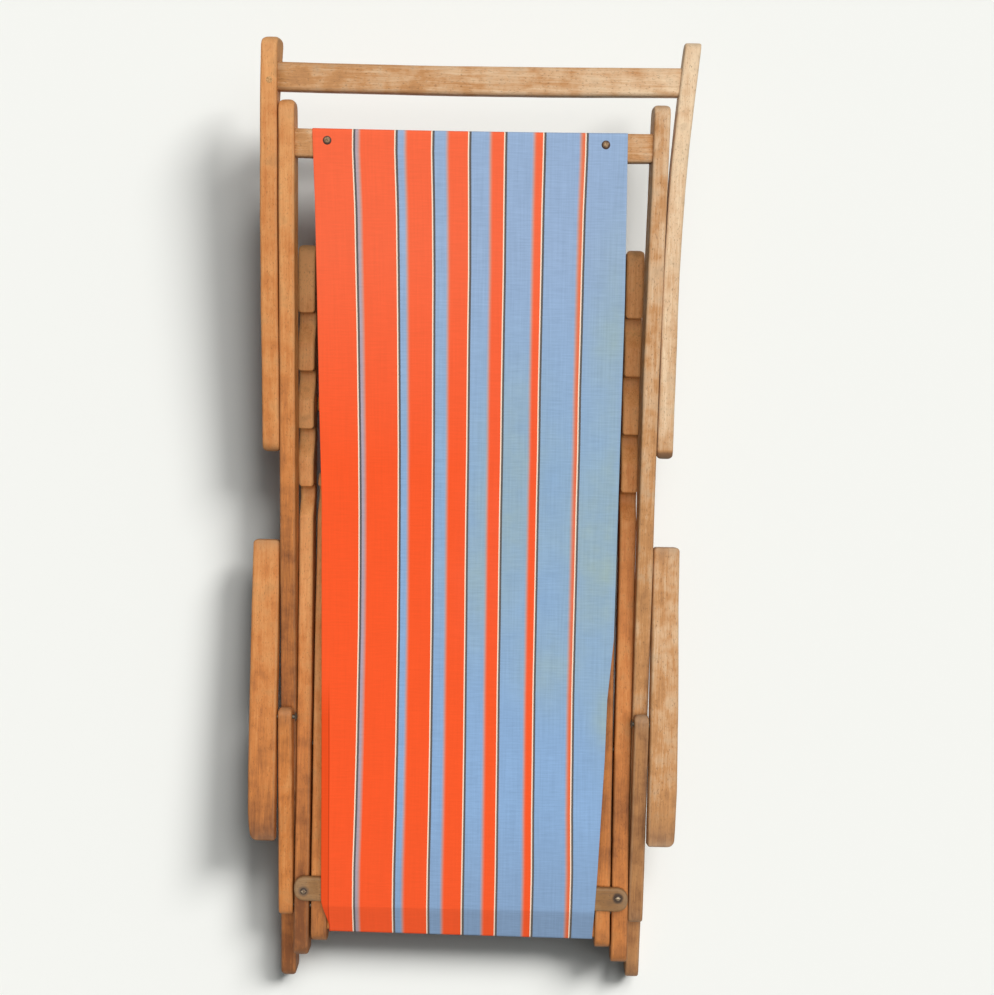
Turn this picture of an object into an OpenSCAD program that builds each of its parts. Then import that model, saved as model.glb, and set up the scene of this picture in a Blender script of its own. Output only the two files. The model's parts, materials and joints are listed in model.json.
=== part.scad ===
// Wooden deck chair with arms and a canvas sling, folded flat.
// It lies on its back: +Y towards the head end, +Z up from the floor, +X to the sitter's left.
// Each frame is drawn in its own plane, with the crossing bolts' axis as its origin,
// Y along the frame and Z out of its front face.

/* [Back frame] */
// Width over the two back stiles
frame_w = 540; // [500:5:600]
// Width of every long stile, across the chair
stile_w = 22.5; // [20:0.5:26]
// Depth of the back and seat stiles, front to back
stile_d = 36; // [32:1:42]
// Radius of the eased long edges
edge_r = 2.5; // [1:0.5:4]
// Radius of the worn corners at the ends of every stile, seen from the front
worn_r = 7; // [3:0.5:9]
// Radius of the less worn corners at the ends of the canvas stiles and the bowed strut stile
sharp_r = 3; // [1:0.5:6]
// Foot of the back stiles to the crossing bolts
foot_l = 361; // [340:1:400]
// Crossing bolts to the head end of the back stiles
head_l = 930; // [880:1:960]
// Head end of the stiles to the top edge of the head rail
head_drop = 38; // [25:1:60]
// Height of the head rail, along the stiles
head_rail_h = 39; // [30:1:50]
// Thickness of the head rail
head_rail_t = 26; // [22:1:30]
// Foot of the stiles to the middle of the foot rail
foot_rail_up = 95; // [80:1:110]
// Height of the foot rail, along the stiles
foot_rail_h = 34; // [24:1:40]
// Thickness of the foot rail
foot_rail_t = 16; // [14:1:18]

/* [Seat frame] */
// Gap between the back stiles and the seat stiles
seat_gap = 1.8; // [1.5:0.1:4]
// Crossing bolts to the rear end of the seat stiles
seat_rear = 736; // [700:1:780]
// Crossing bolts to the knee end of the seat stiles
seat_front = 320; // [310:1:340]
// Crossing bolts to the wall of the rearmost notch
notch_far = 636; // [620:1:660]
// Distance from one notch wall to the next
notch_pitch = 84.5; // [70:0.5:95]
// Number of notches in each stile
notch_count = 4; // [3:1:5]
// Depth of a notch at its wall
notch_deep = 16; // [15:1:18]
// Length of a notch along the stile
notch_l = 43; // [38:1:55]
// Flat bottom of a notch, next to its wall
notch_flat = 14; // [12:1:16]
// Crossing bolts to the middle of the rear spreader
spreader_at = 504; // [480:1:520]
// Height of the rear spreader, along the stiles
spreader_h = 22; // [18:1:30]
// Thickness of the rear spreader
spreader_t = 18; // [14:1:19]
// Crossing bolts to the middle of the knee lath
lath_at = 216; // [210:1:225]
// Height of the knee lath, along the stiles
lath_h = 36; // [30:1:40]
// Thickness of the knee lath
lath_t = 10; // [8:1:14]

/* [Canvas frame] */
// Gap between seat stile and canvas stile at the knee end
canvas_gap = 1.5; // [0.5:0.5:2]
// How far the canvas stiles lean inwards over their length
canvas_lean = 4.2; // [0:0.2:6]
// Crossing bolts to the knee end of the canvas stiles
canvas_front = 298; // [294:1:305]
// Crossing bolts to the rear end of the canvas stiles
canvas_rear = 404; // [380:1:420]
// Height of the canvas rail, along the stiles
canvas_rail_h = 30; // [24:1:31]
// Thickness of the canvas rail
canvas_rail_t = 24; // [18:1:28]

/* [Canvas] */
// Thickness of the canvas
cloth_t = 1.2; // [0.8:0.1:2]
// Gap between back stile and canvas at the head rail
head_gap = 30.5; // [25:0.5:45]
// Gap between seat stile and canvas at the knee lath, seen from the front
lath_gap = 21; // [14:0.5:30]
// Gap between canvas stile and canvas at the canvas rail
end_gap = 4; // [1:0.5:12]
// Length of the hem behind the head rail and behind the canvas rail
hem_l = 16; // [12:1:18]

/* [Strut] */
// Gap between the back stiles and the strut stiles
strut_gap = 1; // [0.5:0.5:3]
// Depth of the strut stiles
strut_d = 30; // [28:1:34]
// Crossing bolts to the strut bolts
strut_at = 452; // [445:1:465]
// Strut bolts to the short end of the strut stiles
strut_tail = 16; // [15:1:24]
// Gap between the ends of the back stiles and the strut rail, when the strut lies flat
strut_rail_gap = 11; // [4:1:30]
// Long end of the strut stiles to the round edge of the strut rail
strut_rail_drop = 33; // [20:1:60]
// Height of the strut rail, along the stiles
strut_rail_h = 40; // [30:1:44]
// Thickness of the strut rail, which drops into the notches
strut_rail_t = 22; // [18:1:24]
// How far the right strut stile is bowed outwards at its long end
strut_bow = 15; // [0:0.5:18]
// Strut bolts to the place where the bow starts
bow_from = 218; // [150:1:260]

/* [Arms] */
// Gap between back stile and armrest
arm_gap = 1; // [0.5:0.5:2]
// Crossing bolts to the screws that the armrests turn on
arm_at = 291; // [280:1:300]
// Width of the armrest at its rear end
arm_rear_w = 39; // [34:1:46]
// Width of the armrest near its front end
arm_front_w = 43; // [36:1:50]
// Thickness of the armrest
arm_t = 20; // [18:1:26]
// Rear screw to the rear end of the armrest
arm_tail = 15.5; // [14:0.5:24]
// Rear screw to the front end of the armrest
arm_l = 426; // [400:1:450]
// Radius of the front outer corner of the armrest
arm_corner_r = 20; // [10:1:26]
// Gap between seat stile and arm post
post_gap = 1; // [0.5:0.5:2]
// Depth of the arm post
post_d = 22; // [20:1:26]
// Bolt of the post to each of its ends
post_tail = 14; // [12:1:18]
// Crossing bolts to the post bolts, along the seat frame
post_at = 244; // [235:1:255]
// How far the post bolts sit in front of the seat stile's middle
post_up = 5.5; // [3:0.5:7]

/* [Fastenings] */
// Radius of the bolts
bolt_r = 3.5; // [3:0.25:4]
// Radius of the arm screws
screw_r = 3; // [2.5:0.25:3.5]
// Radius of the washers
washer_r = 8; // [7:0.5:9]
// Thickness of the washers
washer_t = 1.2; // [1:0.1:1.4]
// Thickness of the nuts
nut_t = 5; // [4:0.5:7]
// Length of the tenons of the rails
tenon_l = 14; // [10:1:16]
// Length of the tenons of the strut rail
strut_tenon_l = 18; // [17:0.5:19]
// Thickness of the tenons
tenon_t = 10; // [8:1:12]
// Radius of the pegs through the tenons
peg_r = 3; // [2:0.25:4]
// Radius of the pegs through the tenons of the strut
strut_peg_r = 4.5; // [3:0.25:5]
// How far the strut's pegs lie from the middle of its rail, towards the bolts
strut_peg_off = 6.5; // [0:0.5:8]
// Radius of the dome nails at the head of the canvas
nail_r = 6; // [5:0.25:7]
// Number of tacks in each hem
tack_count = 6; // [4:1:8]

/* [Hidden] */
$fn = 40;

// Clearances: pieces that slide past each other, turning pins, and glued or driven fits.
// Cuts run past a face by over, bolts stand past their nuts and pegs past their tenons by past.
air = 0.3;
play = 0.08;
fit = 0.05;
over = 1;
past = 2;
full_turn = 360;

beech = [0.80, 0.56, 0.34];
pale_beech = [0.84, 0.64, 0.43];
grey_wood = [0.66, 0.55, 0.42];
red_cloth = [0.95, 0.36, 0.17];
dark_metal = [0.35, 0.31, 0.27];
old_steel = [0.55, 0.53, 0.50];

// Distances from the middle of the chair to the faces of the stiles
back_out = frame_w / 2;
back_in = back_out - stile_w;
seat_out = back_in - seat_gap;
seat_in = seat_out - stile_w;
canvas_out = seat_in - canvas_gap;
strut_in = back_out + strut_gap;
strut_out = strut_in + stile_w;
arm_in = back_out + arm_gap;
post_in = seat_out + post_gap;
post_out = post_in + stile_w;
end_r = stile_d / 2;

// The posts lie on the back stiles when the chair is folded, which leaves the frames this far apart
post_rise = stile_d / 2 + air + post_d / 2;
arm_link = norm([post_at, post_up]);
link_a = asin(post_rise / arm_link);
fold_a = link_a - atan2(post_up, post_at);

// The strut reaches past the back stiles, so its rail lies clear of them when the chair is folded
strut_rail_far = head_l - strut_at + strut_rail_gap + strut_rail_h;
strut_l = strut_rail_far + strut_rail_drop;

// The chair lies on the feet of the back frame and on the rear ends of the seat frame
foot_mid = foot_l - end_r;
rear_mid = seat_rear - end_r;
lie_a = atan2(rear_mid * sin(fold_a), foot_mid + rear_mid * cos(fold_a));
pivot_z = foot_mid * sin(lie_a) + end_r;
pivot_y = -(strut_at + strut_l - foot_l) / 2 * cos(lie_a);

// Places of the rails along their frames
head_rail_top = head_l - head_drop;
head_rail_y = head_rail_top - head_rail_h / 2;
foot_rail_y = foot_rail_up - foot_l;
foot_rail_z = -(stile_d - foot_rail_t) / 2;
spreader_z = -(stile_d - spreader_t) / 2;
lath_z = (stile_d + lath_t) / 2;
lath_inset = 2;
lath_half = seat_out - lath_inset;
lath_screw_x = seat_in + stile_w / 2 - lath_inset;
lath_corner_r = lath_h / 2 - lath_inset;
strut_rail_y = strut_rail_far - strut_rail_h / 2;
strut_peg_y = strut_rail_y - strut_peg_off;

// The strut's washers and nuts lie in round pockets of the back stiles, level with their inner faces
pocket_l = air + washer_t + nut_t + past;
pocket_end = back_in + pocket_l;

// Full widths of the canvas at the head rail, at the knee lath and at the canvas rail
cloth_head_w = 2 * (back_in - head_gap);
cloth_lath_w = 2 * (seat_in - lath_gap);

// The canvas rail lies in the loop of the cloth, a little above the ends of the canvas stiles
cloth_drop = 12;
cloth_flare = 4;
cloth_cut = 14;
rail_corner_r = 4;
canvas_rail_y = -(canvas_front - cloth_drop - cloth_t - air - canvas_rail_h / 2);
lean_a = atan2(canvas_lean, canvas_front + canvas_rear);
tenon_in = 5;

// The dome nails sit at the cloth's top corners, the right one further in, and the tacks hold the hems
nail_down = 18;
nail_left_in = 15;
nail_right_in = 32;
nail_xs = [nail_left_in - cloth_head_w / 2, cloth_head_w / 2 - nail_right_in];
nail_shank_r = 1.5;
nail_l = 14;
nail_h = 2.4;
tack_r = 3.5;
tack_shank_r = 1;
tack_l = 9;
tack_h = 1;
tack_side = 20;

// The width between the canvas stiles shrinks towards the rear as they lean in
function canvas_in(y) = canvas_out - stile_w - (y + canvas_front) * tan(lean_a);

canvas_rail_half = canvas_in(canvas_rail_y + canvas_rail_h / 2) - fit;
cloth_end_w = 2 * (canvas_rail_half - end_gap);

// The bow of the right strut stile grows with the square of the distance from its start
function bow(y) = y <= bow_from ? 0 : strut_bow * pow((y - bow_from) / (strut_l - bow_from), 2);

// A point of the seat frame, seen in the back frame
function from_seat(p) = [
    p[0] * cos(fold_a) + p[1] * sin(fold_a),
    -p[0] * sin(fold_a) + p[1] * cos(fold_a)
];

// Middles of the rounded corners that the cloth passes, from the hem behind the head rail on
head_z = head_rail_t / 2 - rail_corner_r;
canvas_z = canvas_rail_t / 2 - rail_corner_r;
lath_front_z = lath_z + lath_t / 2 - rail_corner_r;
rail_low_y = canvas_rail_y - canvas_rail_h / 2 + rail_corner_r;
corners = [
    [head_rail_top - hem_l, -head_z],
    [head_rail_top - rail_corner_r, -head_z],
    [head_rail_top - rail_corner_r, head_z],
    from_seat([-lath_at - lath_h / 2 + rail_corner_r, lath_front_z]),
    from_seat([rail_low_y, canvas_z]),
    from_seat([rail_low_y, -canvas_z]),
    from_seat([rail_low_y - rail_corner_r + hem_l, -canvas_z])
];
last_corner = len(corners) - 1;

// Direction of the belt's outward normal on the stretch after corner i
function stretch_a(i) =
    let (d = corners[i + 1] - corners[i]) atan2(d[1], d[0]) - 90;

// The turn at corner i, always the same way round
function turn_a(i) = let (t = stretch_a(i) - stretch_a(i - 1)) t < 0 ? t + full_turn : t;

// Angle of the free stretch from head rail to lath, against the back frame
cloth_slope = abs(stretch_a(2) - 90);

// The cloth leaves the rail's top edge on its way to the lath, so it stands off a little at the nails
nail_z = head_rail_t / 2 + 2 * air + cloth_t + (nail_down - rail_corner_r) * tan(cloth_slope);

module in_back_frame() {
    translate([0, pivot_y, pivot_z]) rotate([lie_a, 0, 0]) children();
}

module in_seat_frame() {
    translate([0, pivot_y, pivot_z]) rotate([lie_a - fold_a, 0, 0]) children();
}

module in_strut() {
    in_back_frame() translate([0, strut_at, 0]) children();
}

module in_arm() {
    in_back_frame() translate([0, arm_at, 0]) rotate([-link_a, 0, 0]) children();
}

module in_post() {
    in_seat_frame() translate([0, -post_at, post_up]) rotate([fold_a, 0, 0]) children();
}

module mirrored() {
    mirror([1, 0, 0]) children();
}

module on_both_sides() {
    children();
    mirrored() children();
}

// Turns an upright shape so that it lies along X, with its foot at x
module across(x) {
    translate([x, 0, 0]) rotate([0, 90, 0]) children();
}

// A drawing in Y and Z, given a width along X
module side_shape(x, w) {
    translate([x, 0, 0]) rotate([90, 0, 90]) linear_extrude(w) children();
}

// A rectangle with eased corners
module eased_rect(w, h, r) {
    square([w - 2 * r, h], center = true);
    square([w, h - 2 * r], center = true);
    for (x = [-1, 1], y = [-1, 1])
        translate([x * (w / 2 - r), y * (h / 2 - r)]) circle(r);
}

// Side view of a bar whose two ends are rounded over its whole depth
module round_ended(y0, y1, d) {
    translate([y0 + d / 2, -d / 2]) square([y1 - y0 - d, d]);
    translate([y0 + d / 2, 0]) circle(d / 2);
    translate([y1 - d / 2, 0]) circle(d / 2);
}

// A bar along Y with eased long edges and worn, round ends; x is the middle of its width
module bar(x, w, y0, y1, d, r = worn_r) {
    intersection() {
        translate([x, y1 + over, 0]) rotate([90, 0, 0])
            linear_extrude(y1 - y0 + 2 * over) eased_rect(w, d, edge_r);
        side_shape(x - w / 2 - over, w + 2 * over) round_ended(y0, y1, d);
        translate([x, (y0 + y1) / 2, -d]) linear_extrude(2 * d) eased_rect(w, y1 - y0, r);
    }
}

// The box of a tenon, or of its mortise where grow is more than nothing; x is its root
module tenon(x, y, z, h, l, grow) {
    translate([x - tenon_in, y - h / 2 - grow, z - tenon_t / 2 - grow])
        cube([tenon_in + l + grow, h + 2 * grow, tenon_t + 2 * grow]);
}

// A rail along X between two faces at -half and +half, with a tenon at each end
module rail(half, y, z, h, t) {
    translate([0, y, z]) side_shape(-half, 2 * half) eased_rect(h, t, rail_corner_r);
    on_both_sides() tenon(half, y, z, h - 2 * tenon_in, tenon_l, 0);
}

// A peg or its hole, driven in from the back face of a stile
module back_peg(x, y, z, d, grow) {
    translate([x + tenon_l / 2, y, -d / 2]) cylinder(r = peg_r + grow, h = z + tenon_t / 2 + past + d / 2);
}

// A straight hole along X
module bolt_hole(x0, x1, r) {
    across(x0 - over) cylinder(r = r + play, h = x1 - x0 + 2 * over);
}

// A flat countersunk head along X, wide end at x, narrowing towards dir; grow makes its seat
module sunk_head(x, dir, r, grow) {
    across(x) mirror([0, 0, dir < 0 ? 1 : 0])
        cylinder(r1 = 2 * r + grow, r2 = r, h = r + grow);
}

// A low dome on the plane z = 0
module dome(r, h) {
    ball_r = (r * r + h * h) / (2 * h);
    intersection() {
        translate([0, 0, h - ball_r]) sphere(ball_r);
        cylinder(r = r, h = h + over);
    }
}

module washer(x, t, r) {
    across(x) difference() {
        cylinder(r = washer_r, h = t);
        translate([0, 0, -over]) cylinder(r = r + play, h = t + 2 * over);
    }
}

module hex_nut(x) {
    across(x) difference() {
        cylinder(r = 2 * bolt_r, h = nut_t, $fn = 6);
        translate([0, 0, -over]) cylinder(r = bolt_r + fit, h = nut_t + 2 * over);
    }
}

// Back frame

module back_stile() {
    x = back_out - stile_w / 2;
    difference() {
        bar(x, stile_w, -foot_l, head_l, stile_d);
        bolt_hole(back_in, back_out, bolt_r);
        translate([0, strut_at, 0]) {
            bolt_hole(back_in, back_out, bolt_r);
            across(back_in - over) cylinder(r = washer_r + 2 * air, h = over + pocket_l);
        }
        translate([0, arm_at, 0]) {
            bolt_hole(back_in, back_out, screw_r);
            sunk_head(back_in - fit, 1, screw_r, air);
        }
        tenon(back_in, head_rail_y, 0, head_rail_h - 2 * tenon_in, tenon_l, fit);
        back_peg(back_in, head_rail_y, 0, stile_d + 2 * over, fit);
        tenon(back_in, foot_rail_y, foot_rail_z, foot_rail_h - 2 * tenon_in, tenon_l, fit);
        back_peg(back_in, foot_rail_y, foot_rail_z, stile_d + 2 * over, fit);
    }
}

module back_stile_right() {
    color(pale_beech) in_back_frame() back_stile();
}

module back_stile_left() {
    color(beech) in_back_frame() mirrored() back_stile();
}

// Evenly spaced places of the tacks across a hem of width w
function tack_xs(w) = [for (i = [0:tack_count - 1]) (i / (tack_count - 1) - 0.5) * (w - 2 * tack_side)];

module head_rail() {
    color(beech) in_back_frame() difference() {
        rail(back_in - fit, head_rail_y, 0, head_rail_h, head_rail_t);
        on_both_sides() back_peg(back_in, head_rail_y, 0, stile_d, fit);
        nail_places() cylinder(r = nail_shank_r + fit, h = 2 * nail_l, center = true);
        head_tack_places() cylinder(r = tack_shank_r + fit, h = 2 * tack_l, center = true);
    }
}

// Where the nails enter: on the front of the cloth, near its top edge
module nail_places() {
    for (x = nail_xs)
        translate([x, head_rail_top - nail_down, nail_z]) children();
}

// Where the tacks enter: on the hem behind the head rail
module head_tack_places() {
    for (x = tack_xs(cloth_head_w))
        translate([x, head_rail_top - hem_l / 2, -head_rail_t / 2 - 2 * air - cloth_t]) children();
}

module canvas_nails() {
    color(dark_metal) in_back_frame() nail_places() {
        dome(nail_r, nail_h);
        translate([0, 0, -nail_l]) cylinder(r = nail_shank_r, h = nail_l + nail_h / 2);
    }
}

module head_tacks() {
    color(dark_metal) in_back_frame() head_tack_places() mirror([0, 0, 1]) {
        dome(tack_r, tack_h);
        translate([0, 0, -tack_l]) cylinder(r = tack_shank_r, h = tack_l + tack_h / 2);
    }
}

module foot_rail() {
    color(beech) in_back_frame() difference() {
        rail(back_in - fit, foot_rail_y, foot_rail_z, foot_rail_h, foot_rail_t);
        on_both_sides() back_peg(back_in, foot_rail_y, foot_rail_z, stile_d, fit);
    }
}

module head_rail_pegs() {
    color(pale_beech) in_back_frame() on_both_sides() back_peg(back_in, head_rail_y, 0, stile_d, 0);
}

module foot_rail_pegs() {
    color(pale_beech) in_back_frame() on_both_sides()
        back_peg(back_in, foot_rail_y, foot_rail_z, stile_d, 0);
}

// Crossing bolts: a domed head outside the back stile, the nut inside the canvas stile
head_h = 3;
crossing_end = canvas_in(washer_r) - air;

module crossing_bolts() {
    color(old_steel) in_back_frame() on_both_sides() {
        across(back_out + fit) dome(2 * bolt_r, head_h);
        across(crossing_end - washer_t - nut_t - past)
            cylinder(r = bolt_r, h = back_out + head_h / 2 - crossing_end + washer_t + nut_t + past);
    }
}

module crossing_spacers() {
    color(old_steel) in_back_frame() on_both_sides() washer(seat_out + air, seat_gap - 2 * air, bolt_r);
}

module crossing_washers() {
    color(old_steel) in_back_frame() on_both_sides() washer(crossing_end - washer_t, washer_t, bolt_r);
}

module crossing_nuts() {
    color(old_steel) in_back_frame() on_both_sides() hex_nut(crossing_end - washer_t - fit - nut_t);
}

// Canvas: a belt of cloth round the corners of head rail, knee lath and canvas rail

// Points of one face of the belt, at distance r from the middles of the corners
corner_steps = 5;
function belt_face(r) = [
    corners[0] + r * [cos(stretch_a(0)), sin(stretch_a(0))],
    for (i = [1:last_corner - 1], k = [0:corner_steps])
        let (a = stretch_a(i - 1) + turn_a(i) * k / corner_steps)
        corners[i] + r * [cos(a), sin(a)],
    corners[last_corner] + r * [cos(stretch_a(last_corner - 1)), sin(stretch_a(last_corner - 1))]
];

function reversed(list) = [for (i = [len(list) - 1:-1:0]) list[i]];

module canvas() {
    inner_r = rail_corner_r + air;
    color(red_cloth) in_back_frame() difference() {
        intersection() {
            side_shape(-frame_w / 2, frame_w)
                polygon(concat(belt_face(inner_r + cloth_t), reversed(belt_face(inner_r))));
            translate([0, 0, -frame_w]) linear_extrude(2 * frame_w) cloth_outline();
        }
        nail_places() cylinder(r = nail_shank_r + air, h = cloth_cut, center = true);
        head_tack_places() cylinder(r = tack_shank_r + air, h = cloth_cut, center = true);
        tilted_as_seat() knee_tack_places()
            cylinder(r = tack_shank_r + air, h = cloth_cut, center = true);
    }
}

// Front view of the cloth: it narrows from the head to the lath, and again to its lower rail
module cloth_outline() {
    lath_top = -lath_at + lath_h / 2;
    lath_low = -lath_at - lath_h / 2;
    side = [
        [cloth_head_w / 2, head_l],
        [cloth_head_w / 2, head_rail_top - head_rail_h],
        [cloth_lath_w / 2 + cloth_flare, 0],
        [cloth_lath_w / 2, lath_top],
        [cloth_lath_w / 2, lath_low],
        [cloth_end_w / 2, canvas_rail_y],
        [cloth_end_w / 2, -seat_front]
    ];
    polygon(concat(side, reversed([for (p = side) [-p[0], p[1]]])));
}

// Turns shapes drawn for the seat frame so that they can cut a piece of the back frame
module tilted_as_seat() {
    rotate([-fold_a, 0, 0]) children();
}

// Seat frame

// One notch: an upright wall at y, a flat bottom beside it, then a ramp back to the face
module notch(y) {
    top = stile_d / 2;
    polygon([
        [y, top + over],
        [y, top - notch_deep],
        [y - notch_flat, top - notch_deep],
        [y - notch_l, top],
        [y - notch_l, top + over]
    ]);
}

module notches() {
    for (i = [0:notch_count - 1]) notch(notch_far - i * notch_pitch);
}

module seat_stile() {
    x = seat_out - stile_w / 2;
    difference() {
        bar(x, stile_w, -seat_front, seat_rear, stile_d);
        side_shape(seat_in - over, stile_w + 2 * over) notches();
        bolt_hole(seat_in, seat_out, bolt_r);
        translate([0, -post_at, post_up]) bolt_hole(seat_in, seat_out, bolt_r);
        tenon(seat_in, spreader_at, spreader_z, spreader_h - 2 * spreader_in, tenon_l, fit);
        back_peg(seat_in, spreader_at, spreader_z, stile_d + 2 * over, fit);
        lath_screw_place() cylinder(r = lath_screw_r + fit, h = 2 * lath_screw_l, center = true);
    }
}

spreader_in = 3;

module seat_stile_right() {
    color(pale_beech) in_seat_frame() seat_stile();
}

module seat_stile_left() {
    color(beech) in_seat_frame() mirrored() seat_stile();
}

module seat_spreader() {
    half = seat_in - fit;
    color(beech) in_seat_frame() difference() {
        union() {
            translate([0, spreader_at, spreader_z])
                side_shape(-half, 2 * half) eased_rect(spreader_h, spreader_t, rail_corner_r);
            on_both_sides()
                tenon(half, spreader_at, spreader_z, spreader_h - 2 * spreader_in, tenon_l, 0);
        }
        on_both_sides() back_peg(seat_in, spreader_at, spreader_z, stile_d, fit);
    }
}

module spreader_pegs() {
    color(pale_beech) in_seat_frame() on_both_sides()
        back_peg(seat_in, spreader_at, spreader_z, stile_d, 0);
}

lath_screw_r = 2.2;
lath_screw_l = 26;
lath_screw_head_r = 5;
lath_screw_head_h = 2.6;
slot_w = 1.2;

// On the front face of the lath, over the middle of the seat stile
module lath_screw_place() {
    translate([lath_screw_x, -lath_at, lath_z + lath_t / 2]) children();
}

// Front view of the lath: a board with large round corners
module lath_outline() {
    square([2 * lath_half - 2 * lath_corner_r, lath_h], center = true);
    square([2 * lath_half, lath_h - 2 * lath_corner_r], center = true);
    for (x = [-1, 1], y = [-1, 1])
        translate([x * (lath_half - lath_corner_r), y * (lath_h / 2 - lath_corner_r)])
            circle(lath_corner_r);
}

module knee_lath() {
    color(grey_wood) in_seat_frame() difference() {
        intersection() {
            translate([0, -lath_at, stile_d / 2]) linear_extrude(lath_t) lath_outline();
            translate([0, -lath_at, lath_z - rail_corner_r / 2])
                side_shape(-lath_half, 2 * lath_half)
                    eased_rect(lath_h, lath_t + rail_corner_r, rail_corner_r);
        }
        on_both_sides() lath_screw_place()
            cylinder(r = lath_screw_r + fit, h = 4 * lath_t, center = true);
    }
}

module lath_screws() {
    color(old_steel) in_seat_frame() on_both_sides() lath_screw_place() {
        difference() {
            translate([0, 0, fit]) dome(lath_screw_head_r, lath_screw_head_h);
            translate([0, 0, lath_screw_head_h])
                cube([3 * lath_screw_head_r, slot_w, lath_screw_head_h], center = true);
        }
        translate([0, 0, -lath_screw_l])
            cylinder(r = lath_screw_r, h = lath_screw_l + lath_screw_head_h / 3);
    }
}

// Canvas frame: two stiles inside the seat stiles, leaning in a little towards the rear
// The notch that they reach runs through them, so the strut rail can drop into it

module canvas_stile() {
    rear_in = canvas_in(canvas_rear);
    difference() {
        translate([canvas_out, -canvas_front, 0]) rotate([0, 0, lean_a])
            bar(-stile_w / 2, stile_w, 0, canvas_front + canvas_rear, stile_d, sharp_r);
        side_shape(rear_in - over, canvas_out - rear_in + 2 * over) notches();
        bolt_hole(canvas_in(0) - stile_w, canvas_out + stile_w, bolt_r);
        translate([0, -post_at, post_up]) bolt_hole(canvas_in(0) - stile_w, canvas_out + stile_w, bolt_r);
        tenon(canvas_rail_half, canvas_rail_y, 0, canvas_rail_h - 2 * tenon_in, tenon_l, fit);
        back_peg(canvas_rail_half, canvas_rail_y, 0, stile_d + 2 * over, fit);
    }
}

module canvas_stile_right() {
    color(pale_beech) in_seat_frame() canvas_stile();
}

module canvas_stile_left() {
    color(beech) in_seat_frame() mirrored() canvas_stile();
}

module canvas_rail() {
    color(beech) in_seat_frame() difference() {
        rail(canvas_rail_half, canvas_rail_y, 0, canvas_rail_h, canvas_rail_t);
        on_both_sides() back_peg(canvas_rail_half, canvas_rail_y, 0, stile_d, fit);
        knee_tack_places() cylinder(r = tack_shank_r + fit, h = 2 * tack_l, center = true);
    }
}

module canvas_rail_pegs() {
    color(pale_beech) in_seat_frame() on_both_sides()
        back_peg(canvas_rail_half, canvas_rail_y, 0, stile_d, 0);
}

// Where the tacks enter: on the hem behind the canvas rail
module knee_tack_places() {
    for (x = tack_xs(cloth_end_w))
        translate([x, rail_low_y - rail_corner_r + hem_l / 2, -canvas_rail_t / 2 - 2 * air - cloth_t])
            children();
}

module knee_tacks() {
    color(dark_metal) in_seat_frame() knee_tack_places() mirror([0, 0, 1]) {
        dome(tack_r, tack_h);
        translate([0, 0, -tack_l]) cylinder(r = tack_shank_r, h = tack_l + tack_h / 2);
    }
}

// Post bolts: a flush head in the post, through the seat stile and the canvas stile, with a nut inside
post_end = canvas_in(washer_r - post_at) - fit;

module post_bolts() {
    color(old_steel) in_seat_frame() translate([0, -post_at, post_up]) on_both_sides() {
        sunk_head(post_out - fit, -1, bolt_r, 0);
        across(post_end - washer_t - nut_t - past)
            cylinder(r = bolt_r, h = post_out - over - post_end + washer_t + nut_t + past);
    }
}

module post_washers() {
    color(old_steel) in_seat_frame() translate([0, -post_at, post_up]) on_both_sides()
        washer(post_end - washer_t, washer_t, bolt_r);
}

module post_nuts() {
    color(old_steel) in_seat_frame() translate([0, -post_at, post_up]) on_both_sides()
        hex_nut(post_end - washer_t - fit - nut_t);
}

// Strut

peg_depth = strut_d / 2 + tenon_t / 2 + past;

module strut_stile_cuts(rail_x) {
    bolt_hole(strut_in, strut_out, bolt_r);
    sunk_head(strut_out + fit, -1, bolt_r, 3 * fit);
    tenon(rail_x, strut_rail_y, 0, strut_rail_h - 2 * tenon_in, strut_tenon_l, fit);
}

// The left peg of the strut is driven from the front, the right one from the back
module strut_peg_places() {
    in_stile = strut_in + stile_w / 2;
    translate([-in_stile, strut_peg_y, 0]) children();
    translate([in_stile + bow(strut_peg_y), strut_peg_y, 0]) mirror([0, 0, 1]) children();
}

module strut_peg_holes() {
    strut_peg_places() translate([0, 0, strut_d / 2 - peg_depth])
        cylinder(r = strut_peg_r + fit, h = peg_depth + over);
}

module strut_stile_left() {
    color(beech) in_strut() difference() {
        mirrored() bar(strut_in + stile_w / 2, stile_w, -strut_tail, strut_l, strut_d);
        mirrored() strut_stile_cuts(strut_in);
        strut_peg_holes();
    }
}

// The right stile has warped outwards: straight at the bolt, then a growing bow
bow_steps = 10;
bow_end = strut_l - sharp_r;
bow_ys = [for (i = [0:bow_steps]) bow_from + (bow_end - bow_from) * i / bow_steps];

module strut_stile_right() {
    near_y = -strut_tail + worn_r;
    color(pale_beech) in_strut() difference() {
        intersection() {
            translate([0, 0, -strut_d]) linear_extrude(2 * strut_d) polygon(concat(
                corner([strut_out - worn_r, near_y], worn_r, -90, 0),
                [for (y = bow_ys) [strut_out + bow(y), y]],
                corner([strut_out - sharp_r + bow(bow_end), bow_end], sharp_r, 0, 90),
                corner([strut_in + sharp_r + bow(bow_end), bow_end], sharp_r, 90, 180),
                reversed([for (y = bow_ys) [strut_in + bow(y), y]]),
                corner([strut_in + worn_r, near_y], worn_r, 180, 270)
            ));
            side_shape(strut_in - over, stile_w + strut_bow + 4 * over)
                round_ended(-strut_tail, strut_l, strut_d);
        }
        strut_stile_cuts(strut_in + bow(strut_rail_y));
        strut_peg_holes();
    }
}

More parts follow.
